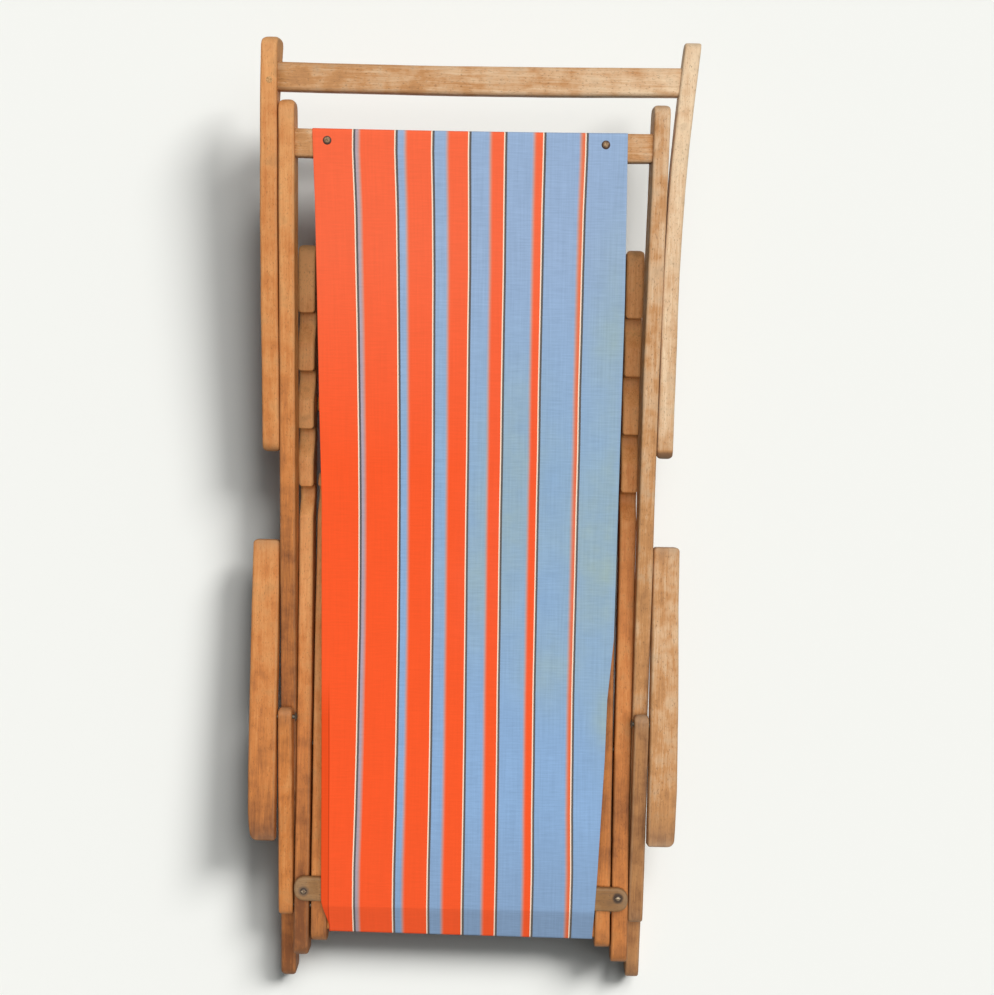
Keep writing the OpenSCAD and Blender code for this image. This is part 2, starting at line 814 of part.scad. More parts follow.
// The rail's far edge is round, to seat in the notches; its right end follows the bowed stile
module strut_rail() {
    near = strut_rail_far - strut_rail_h;
    round_r = strut_rail_t / 2;
    right_near = strut_in + bow(near) - 2 * fit;
    right_far = strut_in + bow(strut_rail_far) - 2 * fit;
    right_mid = strut_in + bow(strut_rail_y);
    color(beech) in_strut() difference() {
        union() {
            intersection() {
                translate([0, 0, -strut_d]) linear_extrude(2 * strut_d) polygon([
                    [-strut_in + 2 * fit, near],
                    [right_near, near],
                    [right_far, strut_rail_far],
                    [-strut_in + 2 * fit, strut_rail_far]
                ]);
                side_shape(-strut_out, 2 * strut_out + strut_bow) {
                    translate([near, -round_r]) square([strut_rail_h - round_r, strut_rail_t]);
                    translate([strut_rail_far - round_r, 0]) circle(round_r);
                }
            }
            mirrored() tenon(strut_in, strut_rail_y, 0, strut_rail_h - 2 * tenon_in, strut_tenon_l, 0);
            tenon(right_mid, strut_rail_y, 0, strut_rail_h - 2 * tenon_in, strut_tenon_l, 0);
        }
        strut_peg_holes();
    }
}

module strut_pegs() {
    color(pale_beech) in_strut() strut_peg_places()
        translate([0, 0, strut_d / 2 - peg_depth + fit]) cylinder(r = strut_peg_r, h = peg_depth - fit);
}

module strut_bolts() {
    color(old_steel) in_strut() on_both_sides() {
        sunk_head(strut_out - fit, -1, bolt_r, 0);
        across(back_in) cylinder(r = bolt_r, h = strut_out - over - back_in);
    }
}

module strut_washers() {
    color(old_steel) in_strut() on_both_sides() washer(pocket_end - air - washer_t, washer_t, bolt_r);
}

module strut_nuts() {
    color(old_steel) in_strut() on_both_sides() hex_nut(pocket_end - air - washer_t - fit - nut_t);
}

// Arms

// Points of a round corner with middle c and radius r, from angle a0 to a1
function corner(c, r, a0, a1) = [
    for (i = [0:corner_steps])
        let (a = a0 + (a1 - a0) * i / corner_steps) c + r * [cos(a), sin(a)]
];

arm_rear_r = 6;
arm_inner_r = 8;
arm_bulge = 1.5;

// Top view of the right armrest: a straight inner edge, a wider front with a round outer corner
module arm_outline() {
    rear_x = arm_in + arm_rear_w;
    front_x = arm_in + arm_front_w;
    polygon(concat(
        corner([arm_in + arm_rear_r, arm_tail - arm_rear_r], arm_rear_r, 180, 90),
        corner([rear_x - arm_rear_r, arm_tail - arm_rear_r], arm_rear_r, 90, 0),
        [[(rear_x + front_x) / 2 + arm_bulge, -arm_l / 3], [front_x, -arm_l * 3 / 5]],
        corner([front_x - arm_corner_r, -arm_l + arm_corner_r], arm_corner_r, 0, -90),
        corner([arm_in + arm_inner_r, -arm_l + arm_inner_r], arm_inner_r, -90, -180)
    ));
}

arm_bite = 26;

module armrest() {
    difference() {
        translate([0, 0, -arm_t / 2]) linear_extrude(arm_t) arm_outline();
        arm_screw_holes();
    }
}

module arm_screw_holes() {
    for (y = [0, -arm_link])
        translate([0, y, 0]) across(arm_in - over) cylinder(r = screw_r + fit, h = arm_bite + over);
}

module armrest_right() {
    color(pale_beech) in_arm() armrest();
}

module armrest_left() {
    color(beech) in_arm() mirrored() armrest();
}

arm_head_r = 7;
arm_head_h = 3;

// A flush screw from inside the back stile and a domed one from inside the post, held by the armrest
module arm_screws() {
    sunk_head(back_in + fit, 1, screw_r, 0);
    across(back_in + over) cylinder(r = screw_r, h = arm_in - back_in - over + arm_bite - fit);
    translate([0, -arm_link, 0]) {
        across(post_in - air) mirror([0, 0, 1]) dome(arm_head_r, arm_head_h);
        across(post_in - air - arm_head_h / 2)
            cylinder(r = screw_r, h = arm_in - post_in + air + arm_head_h / 2 + arm_bite - fit);
    }
}

module arm_screws_right() {
    color(old_steel) in_arm() arm_screws();
}

module arm_screws_left() {
    color(old_steel) in_arm() mirrored() arm_screws();
}

module arm_spacer() {
    translate([0, -arm_link, 0]) washer(post_out + air, arm_in - post_out - 2 * air, screw_r);
}

module arm_spacers_right() {
    color(old_steel) in_arm() arm_spacer();
}

module arm_spacers_left() {
    color(old_steel) in_arm() mirrored() arm_spacer();
}

// The post's lower bolt is its origin, and its upper screw lies arm_at further up
module post() {
    difference() {
        bar(post_in + stile_w / 2, stile_w, -post_tail, arm_at + post_tail, post_d);
        bolt_hole(post_in, post_out, bolt_r);
        sunk_head(post_out + fit, -1, bolt_r, 3 * fit);
        translate([0, arm_at, 0]) bolt_hole(post_in, post_out, screw_r);
    }
}

module post_right() {
    color(pale_beech) in_post() post();
}

module post_left() {
    color(beech) in_post() mirrored() post();
}

back_stile_left();
back_stile_right();
head_rail();
foot_rail();
head_rail_pegs();
foot_rail_pegs();
canvas();
canvas_nails();
head_tacks();
crossing_bolts();
crossing_spacers();
crossing_washers();
crossing_nuts();
seat_stile_left();
seat_stile_right();
seat_spreader();
spreader_pegs();
knee_lath();
lath_screws();
canvas_stile_left();
canvas_stile_right();
canvas_rail();
canvas_rail_pegs();
knee_tacks();
post_bolts();
post_washers();
post_nuts();
strut_stile_left();
strut_stile_right();
strut_rail();
strut_pegs();
strut_bolts();
strut_washers();
strut_nuts();
armrest_left();
armrest_right();
arm_screws_left();
arm_screws_right();
arm_spacers_left();
arm_spacers_right();
post_left();
post_right();
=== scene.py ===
"""Folding deck chair with arms, lying folded flat: worn beech frames, a striped canvas sling and small steel parts."""
import json
import math

import bpy
import numpy as np
from bpy.props import FloatProperty, PointerProperty, StringProperty
from mathutils import Matrix, Vector

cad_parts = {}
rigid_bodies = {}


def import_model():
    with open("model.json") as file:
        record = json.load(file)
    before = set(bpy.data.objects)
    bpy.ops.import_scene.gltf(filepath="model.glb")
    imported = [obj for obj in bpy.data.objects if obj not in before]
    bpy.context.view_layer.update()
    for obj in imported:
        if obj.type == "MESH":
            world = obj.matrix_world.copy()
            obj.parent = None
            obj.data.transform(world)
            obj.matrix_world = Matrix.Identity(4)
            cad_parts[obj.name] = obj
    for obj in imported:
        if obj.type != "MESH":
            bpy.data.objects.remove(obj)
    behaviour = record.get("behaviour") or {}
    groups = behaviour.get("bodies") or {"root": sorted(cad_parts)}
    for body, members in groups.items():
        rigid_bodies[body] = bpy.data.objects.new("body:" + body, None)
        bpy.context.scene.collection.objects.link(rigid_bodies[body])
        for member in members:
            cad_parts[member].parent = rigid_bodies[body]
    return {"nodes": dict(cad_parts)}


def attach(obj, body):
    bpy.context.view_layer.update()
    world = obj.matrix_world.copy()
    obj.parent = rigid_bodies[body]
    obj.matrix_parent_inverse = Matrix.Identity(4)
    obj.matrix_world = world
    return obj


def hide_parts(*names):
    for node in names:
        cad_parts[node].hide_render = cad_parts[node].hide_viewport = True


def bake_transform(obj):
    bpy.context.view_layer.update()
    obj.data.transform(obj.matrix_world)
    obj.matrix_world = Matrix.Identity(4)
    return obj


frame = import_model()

bl_info = {
    "name": "Folding Deck Chair",
    "version": (1, 0, 0),
    "blender": (4, 5, 0),
    "location": "3D View > Sidebar > Deck Chair",
    "description": "Dresses a folding deck chair in worn beech, striped canvas and old steel",
    "category": "Object",
}

# Sizes of the chair, in millimetres, and turns, in degrees. Every place below is written in its own frame:
# x to the chair's right, y towards the head end, z away from the floor, from the crossing bolts or a part's own bolt.
# LIE turns the back frame against the floor, FOLD the back frame against the seat frame and ARM_TURN against the arms.
MM = 0.001
LIE = 3.792888
FOLD = 5.603789
ARM_TURN = 6.895073
PIVOT_Y = -325.785
PIVOT_Z = 40.689
STILE_W = 22.5
STILE_D = 36
BACK_X = 258.75
SEAT_X = 234.45
CANVAS_X = 210.45
STRUT_X = 282.25
POST_X = 257.95
LEFT_BACK_Y = (-366.5, 930)
RIGHT_BACK_Y = (-356.5, 930)
SEAT_Y = (-320, 736)
CANVAS_Y = (-298, 404)
CANVAS_LEAN = 4.2
STRUT_Y = (-16, 562)
STRUT_D = 30
STRUT_AT = 452
BOW = 15
BOW_FROM = 218
ARM_IN = 271
LEFT_ARM_Y = (-426, 15.5)
RIGHT_ARM_Y = (-422.5, 15.5)
ARM_T = 20
ARM_AT = 291
ARM_REAR_W = 39
ARM_FRONT_W = 43
POST_Y = (-14, 305)
POST_D = 22
POST_AT = (-244, 5.5)
NOTCH_WALLS = (636, 551.5, 467, 382.5)
# Rails and the lath: near and far side along their frame, thickness, and the height of their middle
HEAD_RAIL = (853, 892, 26, 0)
FOOT_RAIL = (-283, -249, 16, -10)
SPREADER = (493, 515, 18, -9)
LATH = (-234, -198, 10, 23)
CANVAS_RAIL = (-284.5, -254.5, 24, 0)
STRUT_RAIL = (489, 528, 22, 0)
LATH_HALF = 247.2
LATH_SCREW_X = 232.45
LATH_SEED = 60
CLOTH_BEND_R = 4.3
CLOTH_BENDS = ((872, -9), (888, -9), (888, 9), (-233.34, 45.52), (-279.36, 35.39), (-280.92, 19.47),
               (-264.99, 17.91))
# The two sides: how their names end, which way is out, and the slot of their pieces
# The right side's pale beech is partly painted light: it is paler for the stronger light on the chair's right
SIDES = (("left", -1, "beech"), ("right", 1, "pale_beech"))
# Pieces that look like another beech than the one their slot is named for
LOOKS = {"head_rail": "pale_beech", "strut_rail": "pale_beech", "seat_stile_right": "beech",
         "canvas_stile_right": "beech"}

# How far old stiles and armrests stand off their drawn lines, outwards, in mm: places along, outer side, inner side
DRIFTS = {
    "back_stile_left": ((-366, -250, -140, 0), (1.7, 1.5, 0.5, 0), (1.7, 1.5, 0.5, 0)),
    "back_stile_right": ((-361, -250, -140, 0, 560, 930), (-0.4, 0, 0, 0, 0, 3.8), (2.2, 1.6, 0.6, 0, 0, 3.8)),
    "seat_stile_left": ((-320, -200, -60, 60, 360, 425, 560, 655, 736),
                        (2.9, 2.4, 1.2, 1.1, 1.3, 4.6, 6.2, 7.5, 7.5), (3.0, 2.9, 2.6, 2.5, 2.9, 3.9, 4.5, 4.7, 4.7)),
    "seat_stile_right": ((-320, -264, -200, -87, 0, 300, 368, 410, 560, 736),
                         (2.8, 2.8, 2.2, 1.4, 1.2, 1.4, 1.6, 3.2, 4, 4.6), (1.3, 1.1, 0.5, 0, 0, 0, 0, 0, 0.5, 1)),
    "canvas_stile_left": ((-298, -200, -87, 64, 404), (0.8, 1.8, 2.5, 2.8, 2.4), (0, 0, 0, 0, 0)),
    "canvas_stile_right": ((-298, -200, -87), (1.2, 0.5, 0), (0.8, 0.3, 0)),
    "strut_stile_left": ((-16, 120, 194, 250, 306, 362, 474, 530, 562),
                         (1.8, 2.2, 2.9, 2.9, 3.6, 3.1, 2.4, 0.9, 0), (0, 0, 0.6, 1, 1.2, 1.2, 1, 0.4, 0)),
    "post_left": ((-14, 305), (1.9, 2.1), (3.5, 3.9)),
    "post_right": ((-14, 305), (1.4, 1.3), (2.4, 2.2)),
    "strut_stile_right": ((200, 400, 562), (0, 2.0, 4.5), (0, 2.0, 4.5)),
    "armrest_left": ((-426, -412, -400, -385, -240, -80, 15),
                     (-6, -3.4, -2.0, -1.2, 0.6, 1.0, 0.4), (2.2, 2.2, 2.2, 2.2, 2.2, 1.5, 0.8)),
    "armrest_right": ((-423, -400, -340, -227, -70, 15),
                      (-3, -1.8, -0.3, 0, -1.2, -0.5), (1.7, 1.6, 1.4, 1.1, 0.9, 0.8)),
}
# Tones along the pieces: places along, and tones, which darken the wood below 0 and lighten it above. They hold the
# wood's own tone and painted light: the seat stiles' notched ends are lightened against the shade of the cloth and
# back stiles, and low ends are darkened, partly as painted shade where they face down away from the light
TONES_AND_PAINTED_LIGHT = {
    "back_stile_left": ((-366, -258, -180, 75, 278, 400, 930), (-0.92, -0.82, -0.6, -0.72, -0.5, 0, 0.6)),
    "back_stile_right": ((-361, -200, 0, 300, 930), (-0.62, -0.42, -0.2, 0.06, 0.34)),
    "head_rail": ((0,), (0.1,)),
    # Painted light: the notched end, from about 380 on, is lightened against the shade of the cloth and back stile
    # over it
    "seat_stile_left": ((-320, -240, -159, -78, 2, 83, 164, 244, 325, 380, 640, 680, 736),
                        (-0.9, -0.75, -0.5, -0.42, -0.3, 0, 0.3, 0.7, 0.75, 0.6, 0.75, 1.3, 1.45)),
    # Painted light: the notched end, from about 380 on, is lightened against the shade over it
    "seat_stile_right": ((-320, -254, -171, -88, -6, 77, 324, 380, 736),
                         (-0.3, -0.28, -0.25, -0.6, 0.2, 0.05, 0.05, 0.45, 0.6)),
    "canvas_stile_left": ((-298, -238, -196, -154, -112, -29, 13, 54, 404),
                          (-0.7, -0.6, 0.1, -0.2, 0, -0.1, 0.35, 0.5, 0.3)),
    "canvas_stile_right": ((-298, -230, -201, -172, -114, -56, 404), (-0.25, -0.05, 0, -0.35, -0.5, -0.3, -0.4)),
    "strut_stile_left": ((-16, 300, 420, 562), (0.1, 0.3, 0.45, 0.8)),
    # The low end is darkened, partly as painted shade where it faces down away from the light
    "strut_stile_right": ((-16, -8, -2, 120, 300, 562), (-1.5, -1.2, 0.5, 0.6, 0.74, 0.9)),
    "strut_rail": ((-260, 0, 270), (-0.1, 0.28, 0.6)),
    "armrest_left": ((-426, -378, -330, -270, 15), (-0.8, -0.5, -0.2, 0, 0.35)),
    "armrest_right": ((-426, -392, -340, -200, -100, 15), (-0.5, -0.35, 0.04, 0.1, 0.25, 0)),
    "post_left": ((-14, 305), (0.06, -0.1)),
    "post_right": ((-14, 305), (-0.68, -0.5)),
}
# How far the underside of a rolled stile sits towards the chair's middle, in mm: places along, and the shift
ROLLS = {"strut_stile_left": ((470, 562), (0, 5.5)), "back_stile_right": ((270, 335, 390, 460), (0, 0.8, 1.6, 2.6)),
         "armrest_right": ((0,), (1.5,))}
# What a table gives for a piece that it doesn't list
UNLISTED = ((0,), (0,))
# Slow waves of old hand-finished wood: their size against each other, and their length in mm
WAVES = ((0.6, 410), (0.35, 173), (0.2, 61))
# How rubbed the long edges are, and how far from a bar's ends the wear falls to about a third, in mm
EDGE_WEAR = 0.34
END_WEAR = 11.0
# Keeps the draws for a piece's grain apart from those for its waviness
GRAIN_SEED = 77
# An edge's rounding at most, as a share of the bar; the loop beside it, in mm at most and as a share of what is left
EDGE_SHARE = 0.48
LOOP = 0.8
LOOP_SHARE = 0.3


def drifts(name, along):
    """Outer and inner drift of a piece at places along it; none for a piece that isn't listed."""
    places, outer, inner = DRIFTS.get(name, (*UNLISTED, (0,)))
    return np.interp(along, places, outer), np.interp(along, places, inner)


def rolled(name, grid, depth):
    """A piece turned a little on its long axis: from top to underside it shifts by what ROLLS gives for the place."""
    shift = np.interp(grid[..., 1], *ROLLS.get(name, UNLISTED))
    grid[..., 0] -= np.sign(grid[..., 0]) * shift * (0.5 - grid[..., 2] / depth)
    return grid


def within(outer, turn, y, z):
    """The place of a frame that sits at y, z and turned in an outer one: the outer turn applies, then its offset."""
    a = math.radians(outer[0])
    cos, sin = math.cos(a), math.sin(a)
    return outer[0] + turn, outer[1] + y * cos - z * sin, outer[2] + y * sin + z * cos


# A place is a turn about X, in degrees, and where its origin lies
IN_BACK = (LIE, PIVOT_Y, PIVOT_Z)
IN_SEAT = (LIE - FOLD, PIVOT_Y, PIVOT_Z)
IN_STRUT = within(IN_BACK, 0, STRUT_AT, 0)
IN_ARM = within(IN_BACK, -ARM_TURN, ARM_AT, 0)
IN_POST = within(IN_SEAT, FOLD, *POST_AT)


def laid(points, where):
    """Points of a frame in metres of the room: turned about X by the frame's angle, then moved to its origin."""
    a = math.radians(where[0])
    x, y, z = np.moveaxis(np.asarray(points, float), -1, 0)
    y, z = y * math.cos(a) - z * math.sin(a) + where[1], y * math.sin(a) + z * math.cos(a) + where[2]
    return np.stack([x, y, z], -1) * MM


def tapered(along, near, far, near_r, far_r):
    """How far a face stands back from its full size close to the two ends of a bar.
    For a round of radius r it is r less the root of r squared less (r - d) squared, at the distance d from the end."""
    back = np.zeros_like(along)
    for d, r in ((along - near, near_r), (far - along, far_r)):
        d = np.clip(d, 0, r)
        back = np.maximum(back, r - np.sqrt(np.maximum(r * r - (r - d) ** 2, 0)))
    return back


def apart(places, gap):
    """The places in order, without each that is no further than the gap from the one before it."""
    places = np.sort(places)
    return places[np.concatenate([[True], np.diff(places) > gap])]


def stations(near, far, near_r, far_r, extra=(), step=14.0):
    """Places along a bar: at equal angles on each round end, about a step apart between, and at each extra one."""
    turn = 1 - np.cos(np.radians(np.linspace(4, 90, 12)))
    middle = np.linspace(near + near_r, far - far_r, max(3, int((far - near) / step)))
    return apart(np.concatenate([near + near_r * turn, far - far_r * turn, middle, np.asarray(extra, float)]), 0.04)


def uneven(along, seed, size):
    """The slow waviness of old wood: sines of the lengths that WAVES gives, with phases from the seed."""
    phase = np.random.default_rng(seed).uniform(0, 2 * math.pi, 3)
    return size * sum(a * np.sin(2 * math.pi * along / length + p) for (a, length), p in zip(WAVES, phase))


ARC = np.radians(np.linspace(0, 90, 5))
ARC_X = np.concatenate([[0], 1 - np.cos(ARC), [1]])
ARC_Z = np.concatenate([[1], 1 - np.sin(ARC), [0]])
SUPPORT_X = np.array([0, 0, 0, 0, 0, 0, 1.0])
SUPPORT_Z = np.array([1.0, 0, 0, 0, 0, 0, 0])
MIDS = np.array([0.2, 0.4, 0.6, 0.8])


def eased(size, edge, arc, support):
    """How far a corner's points stand back from a face: along the rounding, then on the loop beside it."""
    r = np.minimum(edge, EDGE_SHARE * size)[:, None]
    return arc * r + support * np.minimum(LOOP, LOOP_SHARE * (size[:, None] / 2 - r))


def rings(along, left, right, bottom, top, edge, bend=None, bend_r=5.0):
    """A bar as rings across it: each ring is a rectangle from left to right and bottom to top with rounded edges.
    A rounded edge is x = r (1 - cos t), z = r (1 - sin t), with a loop close beside it to keep the flats flat.
    bend moves the upper half along the bar by up to that much at both sides, which rounds a notch wall in plan."""
    dx = eased(right - left, edge, ARC_X, SUPPORT_X)
    dz = eased(top - bottom, edge, ARC_Z, SUPPORT_Z)
    xl, xr = left[:, None] + dx, right[:, None] - dx
    mid = xl[:, -1:] + (xr[:, -1:] - xl[:, -1:]) * MIDS
    x = np.concatenate([xl, mid, xr[:, ::-1]], 1)
    lift = np.concatenate([dz, 0 * mid, dz[:, ::-1]], 1)
    y = np.repeat(along[:, None], x.shape[1], 1)
    upper_y = y
    if bend is not None:
        centre = ((left + right) / 2)[:, None]
        half = ((right - left) / 2)[:, None]
        u = np.clip((np.abs(x - centre) - (half - bend_r)) / bend_r, 0, 1)
        upper_y = y + bend[:, None] * (1 - np.sqrt(1 - u * u))
    upper = np.stack([x, upper_y, top[:, None] - lift], -1)
    lower = np.stack([x, y, bottom[:, None] + lift], -1)[:, ::-1]
    return np.concatenate([upper, lower], 1)


def tube_faces(count, around):
    """Quads of a grid that closes round its second direction, and the two ends closed by quads from edge to edge."""
    i, j = np.meshgrid(np.arange(count - 1), np.arange(around), indexing="ij")
    k = (j + 1) % around
    side = np.stack([i * around + j, i * around + k, (i + 1) * around + k, (i + 1) * around + j], -1).reshape(-1, 4)
    half = around // 2
    a = np.arange(half - 1)
    cap = np.stack([a, a + 1, around - 2 - a, around - 1 - a], -1)
    last = (count - 1) * around
    return np.concatenate([side, cap[:, ::-1], cap + last])


def outward(points, faces):
    """Faces turned so that the shell's volume, the sum of p0 . (p1 x p2) / 6 over its triangles, is positive."""
    a, b, c, d = (points[faces[:, k]] for k in range(4))
    volume = np.einsum("ij,ij->", a, np.cross(b, c)) + np.einsum("ij,ij->", a, np.cross(c, d))
    return faces if volume > 0 else faces[:, ::-1]


def new_piece(name, points, faces, attributes, material, uv=None):
    """One closed mesh with smooth faces, its point attributes and its material."""
    faces = outward(points, faces)
    mesh = bpy.data.meshes.new(name)
    mesh.from_pydata(points.tolist(), [], faces.tolist())
    mesh.update()
    mesh.shade_smooth()
    for key, values in attributes.items():
        kind = "FLOAT_VECTOR" if values.ndim == 2 else "FLOAT"
        layer = mesh.attributes.new(key, kind, "POINT")
        layer.data.foreach_set("vector" if values.ndim == 2 else "value", values.astype(np.float32).ravel())
    if uv is not None:
        corner = np.empty(len(mesh.loops), np.int32)
        mesh.loops.foreach_get("vertex_index", corner)
        mesh.uv_layers.new(name="weave").data.foreach_set("uv", uv[corner].astype(np.float32).ravel())
    mesh.materials.append(material)
    piece = bpy.data.objects.new(name, mesh)
    bpy.context.scene.collection.objects.link(piece)
    return piece


def grain_shift(seed):
    """Where a piece's grain starts, so that no two pieces are cut alike."""
    return np.random.default_rng(seed + GRAIN_SEED).uniform(-3, 3, 3)


def wooden(name, grid, where, slot, body, seed, crosswise=False, ends=1.0):
    """A wooden bar from its rings. Its grain runs along it, wherever it points, and is offset by its own seed.
    Wear is 1 at the ends and falls off with the distance, and it is about a third on the rounded edges.
    Where a foot would pass the floor it is worn flat."""
    count, around = grid.shape[:2]
    along = grid[..., 1]
    reach = np.minimum(along - along.min(), along.max() - along)
    brink = np.zeros(around // 2)
    brink[1:6] = brink[-6:-1] = EDGE_WEAR
    wear = np.maximum(np.exp(-reach / END_WEAR) * ends, np.concatenate([brink, brink[::-1]]))
    points = laid(grid[..., [1, 0, 2]] if crosswise else grid, where).reshape(-1, 3)
    points[:, 2] = np.maximum(points[:, 2], 0)
    # The tone along the piece holds the wood's own tone together with painted light and shade
    attributes = {"grain": (grid * MM + grain_shift(seed)).reshape(-1, 3), "wear": wear.ravel(),
                  "tone": np.interp(along.ravel(), *TONES_AND_PAINTED_LIGHT.get(name, UNLISTED))}
    material = wood(LOOKS.get(name, slot))
    piece = new_piece(name + "_wood", points, tube_faces(count, around), attributes, material)
    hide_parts(name)
    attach(piece, body)


def stile(name, span, middle_x, depth, where, slot, body, seed, near_r=7.0, far_r=7.0, lean=0.0, bow=0.0, notches=()):
    """An upright bar. Seen from the side its ends are half round, seen from the front they have corners of near_r and
    far_r. It may lean or bow sideways, the bow growing with the square of the distance, and have notches."""
    near, far = span
    round_r = depth / 2
    extra = np.array([wall + d for wall in notches for d in NOTCH_STEPS])
    y = stations(near, far, round_r, round_r, extra)
    y = apart(np.concatenate([y, near + near_r * ROUND_STEPS, far - far_r * ROUND_STEPS]), 0.03)
    rise = tapered(y, near, far, round_r, round_r)
    side = middle_x + lean * (y - near) / (far - near) + bow * np.clip((y - BOW_FROM) / (far - BOW_FROM), 0, None) ** 2
    half = STILE_W / 2 - tapered(y, near, far, near_r, far_r)
    settings = bpy.context.scene.deck_chair_wood
    wave = settings.waviness
    outer, inner = drifts(name, y)
    low, high = (-outer, -inner) if middle_x < 0 else (inner, outer)
    left = side - half + low + uneven(y, seed, wave)
    right = side + half + high + uneven(y, seed + 1, wave)
    top = depth / 2 - rise
    bend = np.zeros_like(y)
    for wall in notches:
        top = np.minimum(top, np.interp(y, wall + NOTCH_STEPS, NOTCH_HEIGHTS))
        bend = np.maximum(bend, np.interp(y, wall + NOTCH_STEPS, NOTCH_BENDS))
    flat = np.clip(rise * -0.5 + 1, 0, 1)
    top = top + uneven(y, seed + 2, wave) * flat
    bottom = rise - depth / 2 + uneven(y, seed + 3, wave) * flat
    grid = rings(y, left, right, bottom, top, np.full_like(y, settings.edge), bend if len(notches) else None)
    wooden(name, rolled(name, grid, depth), where, slot, body, seed)


ROUND_STEPS = 1 - np.cos(np.radians(np.linspace(8, 90, 8)))
# A notch, from its floor's ramp at the far left to the wall, which rises at 0: steps along, heights, rounding in plan
NOTCH_STEPS = np.array([-50.0, -45.5, -43, -40, -28, -17.5, -14.5, -12, -6, -0.12, 0, 0.12, 0.7, 1.8, 5, 9])
NOTCH_HEIGHTS = np.array([18.2, 17.9, 17.4, 16.2, 9.6, 3.7, 2.4, 2.05, 2.0, 2.0, 9.0, 16.4, 17.5, 18.0, 18.2, 18.2])
NOTCH_BENDS = np.array([0.0, 0, 0, 0, 0, 0, 0, 0.4, 2.6, 5.0, 5.0, 5.0, 5.0, 4.8, 2.9, 0.0])


def rail(name, size, stile_x, where, body, seed, corner=4.0, tenons=(1, 1), shift=(0, 0), sag=0.0):
    """A rail between two stiles. It runs along the chair's x, so its own 'along' is x and 'across' is y.
    tenons are how far it enters its stiles, shift moves its two ends along them, and sag is how far its middle bends
    towards the cloth's pull. Its ends are hidden, so they aren't worn."""
    near, far, thick, middle_z = size
    face = stile_x - STILE_W / 2
    left, right = -(face + tenons[0]), face + tenons[1]
    x = np.linspace(left, right, 36)
    wave = bpy.context.scene.deck_chair_wood.waviness
    bent = np.interp(x, (left, right), shift) - sag * (1 - (x / right) ** 2)
    low = near + bent + uneven(x, seed, wave)
    high = far + bent + uneven(x, seed + 1, wave)
    bottom = np.full_like(x, middle_z - thick / 2)
    top = middle_z + thick / 2 + uneven(x, seed + 2, wave * 0.6)
    grid = rings(x, low, high, bottom, top, np.full_like(x, corner))
    wooden(name, grid, where, "beech", body, seed, crosswise=True, ends=0)


def board(span, thick, middle_z, left, right, corners, seed, edge, rough=1.0):
    """Rings of a flat board: its corners, rear left, rear right, front left and front right, are rounded in plan.
    left and right give each side's x at a place along the board, and the edges of both ends are eased."""
    near, far = span
    radii = (*sorted(set(corners)), edge)
    y = stations(near, far, corners[0], corners[2], step=12.0)
    y = np.concatenate([y] + [near + r * ROUND_STEPS for r in radii] + [far - r * ROUND_STEPS for r in radii])
    y = apart(np.round(y, 2), 0.04)
    wave = bpy.context.scene.deck_chair_wood.waviness * rough
    xl = left(y) + tapered(y, near, far, corners[0], corners[2]) + uneven(y, seed, wave)
    xr = right(y) - tapered(y, near, far, corners[1], corners[3]) + uneven(y, seed + 1, wave)
    rise = tapered(y, near, far, edge, edge)
    top = middle_z + thick / 2 - rise + uneven(y, seed + 2, wave) * (rise < 0.1)
    bottom = middle_z - thick / 2 + rise
    return rings(y, xl, xr, bottom, top, np.full_like(y, edge))


def linear(colour):
    """An sRGB hex colour as linear RGBA: c / 12.92 up to 0.04045, else ((c + 0.055) / 1.055) to the power 2.4."""
    c = np.array([int(colour[i:i + 2], 16) for i in (1, 3, 5)]) / 255
    c = np.where(c <= 0.04045, c / 12.92, ((c + 0.055) / 1.055) ** 2.4)
    return (*c.tolist(), 1.0)


def add(tree, kind, inputs=None, stops=None, give=0, **settings):
    """Adds a node: its settings, the stops of its ramp, and each input, which is a value or another node's output.
    Gives the node's first output, or the one that give names, or with None the node."""
    node = tree.nodes.new(kind)
    for key, value in settings.items():
        setattr(node, key, value)
    for k, (spot, colour) in enumerate(stops or ()):
        ramp = node.color_ramp.elements
        stop = ramp[k] if k < 2 else ramp.new(spot)
        stop.position = spot
        stop.color = linear(colour) if isinstance(colour, str) else (colour, colour, colour, 1)
    for socket, value in (inputs or {}).items():
        if isinstance(value, bpy.types.NodeSocket):
            tree.links.new(value, node.inputs[socket])
        else:
            node.inputs[socket].default_value = value
    return node if give is None else node.outputs[give]


def fresh(name):
    """A new material with an empty tree: gives both."""
    material = bpy.data.materials.new(name)
    material.use_nodes = True
    material.node_tree.nodes.clear()
    return material, material.node_tree


def surfaced(material, inputs, relief=None, strength=0.0, height=0.0):
    """The material, ended by its surface shader. A relief makes it bumpy, by a strength and up to a height in mm."""
    tree = material.node_tree
    if relief is not None:
        bump = {"Height": relief, "Strength": strength, "Distance": height * MM}
        inputs = {**inputs, "Normal": add(tree, "ShaderNodeBump", bump)}
    add(tree, "ShaderNodeOutputMaterial", {"Surface": add(tree, "ShaderNodeBsdfPrincipled", inputs)}, give=None)
    return material


def coated(tree, colour, *coats):
    """Output of a colour under its coats: each is how much of it shows, from 0 to 1, and its own colour."""
    for share, coat in coats:
        colour = add(tree, "ShaderNodeMix", {0: share, 6: colour, 7: linear(coat)}, give=2, data_type="RGBA")
    return colour


def weighed(tree, total, *terms):
    """Output of a sum: the total to start with, plus each output times its weight."""
    for output, weight in terms:
        total = add(tree, "ShaderNodeMath", {0: output, 1: weight, 2: total}, operation="MULTIPLY_ADD")
    return total


def drawn_out(tree, where, scale, **noise):
    """Output of a noise drawn out by its own scale, in features per metre, along each of three directions."""
    mapped = add(tree, "ShaderNodeMapping", {"Vector": where, "Scale": scale})
    return add(tree, "ShaderNodeTexNoise", {"Vector": mapped, "Scale": 1.0, **noise})


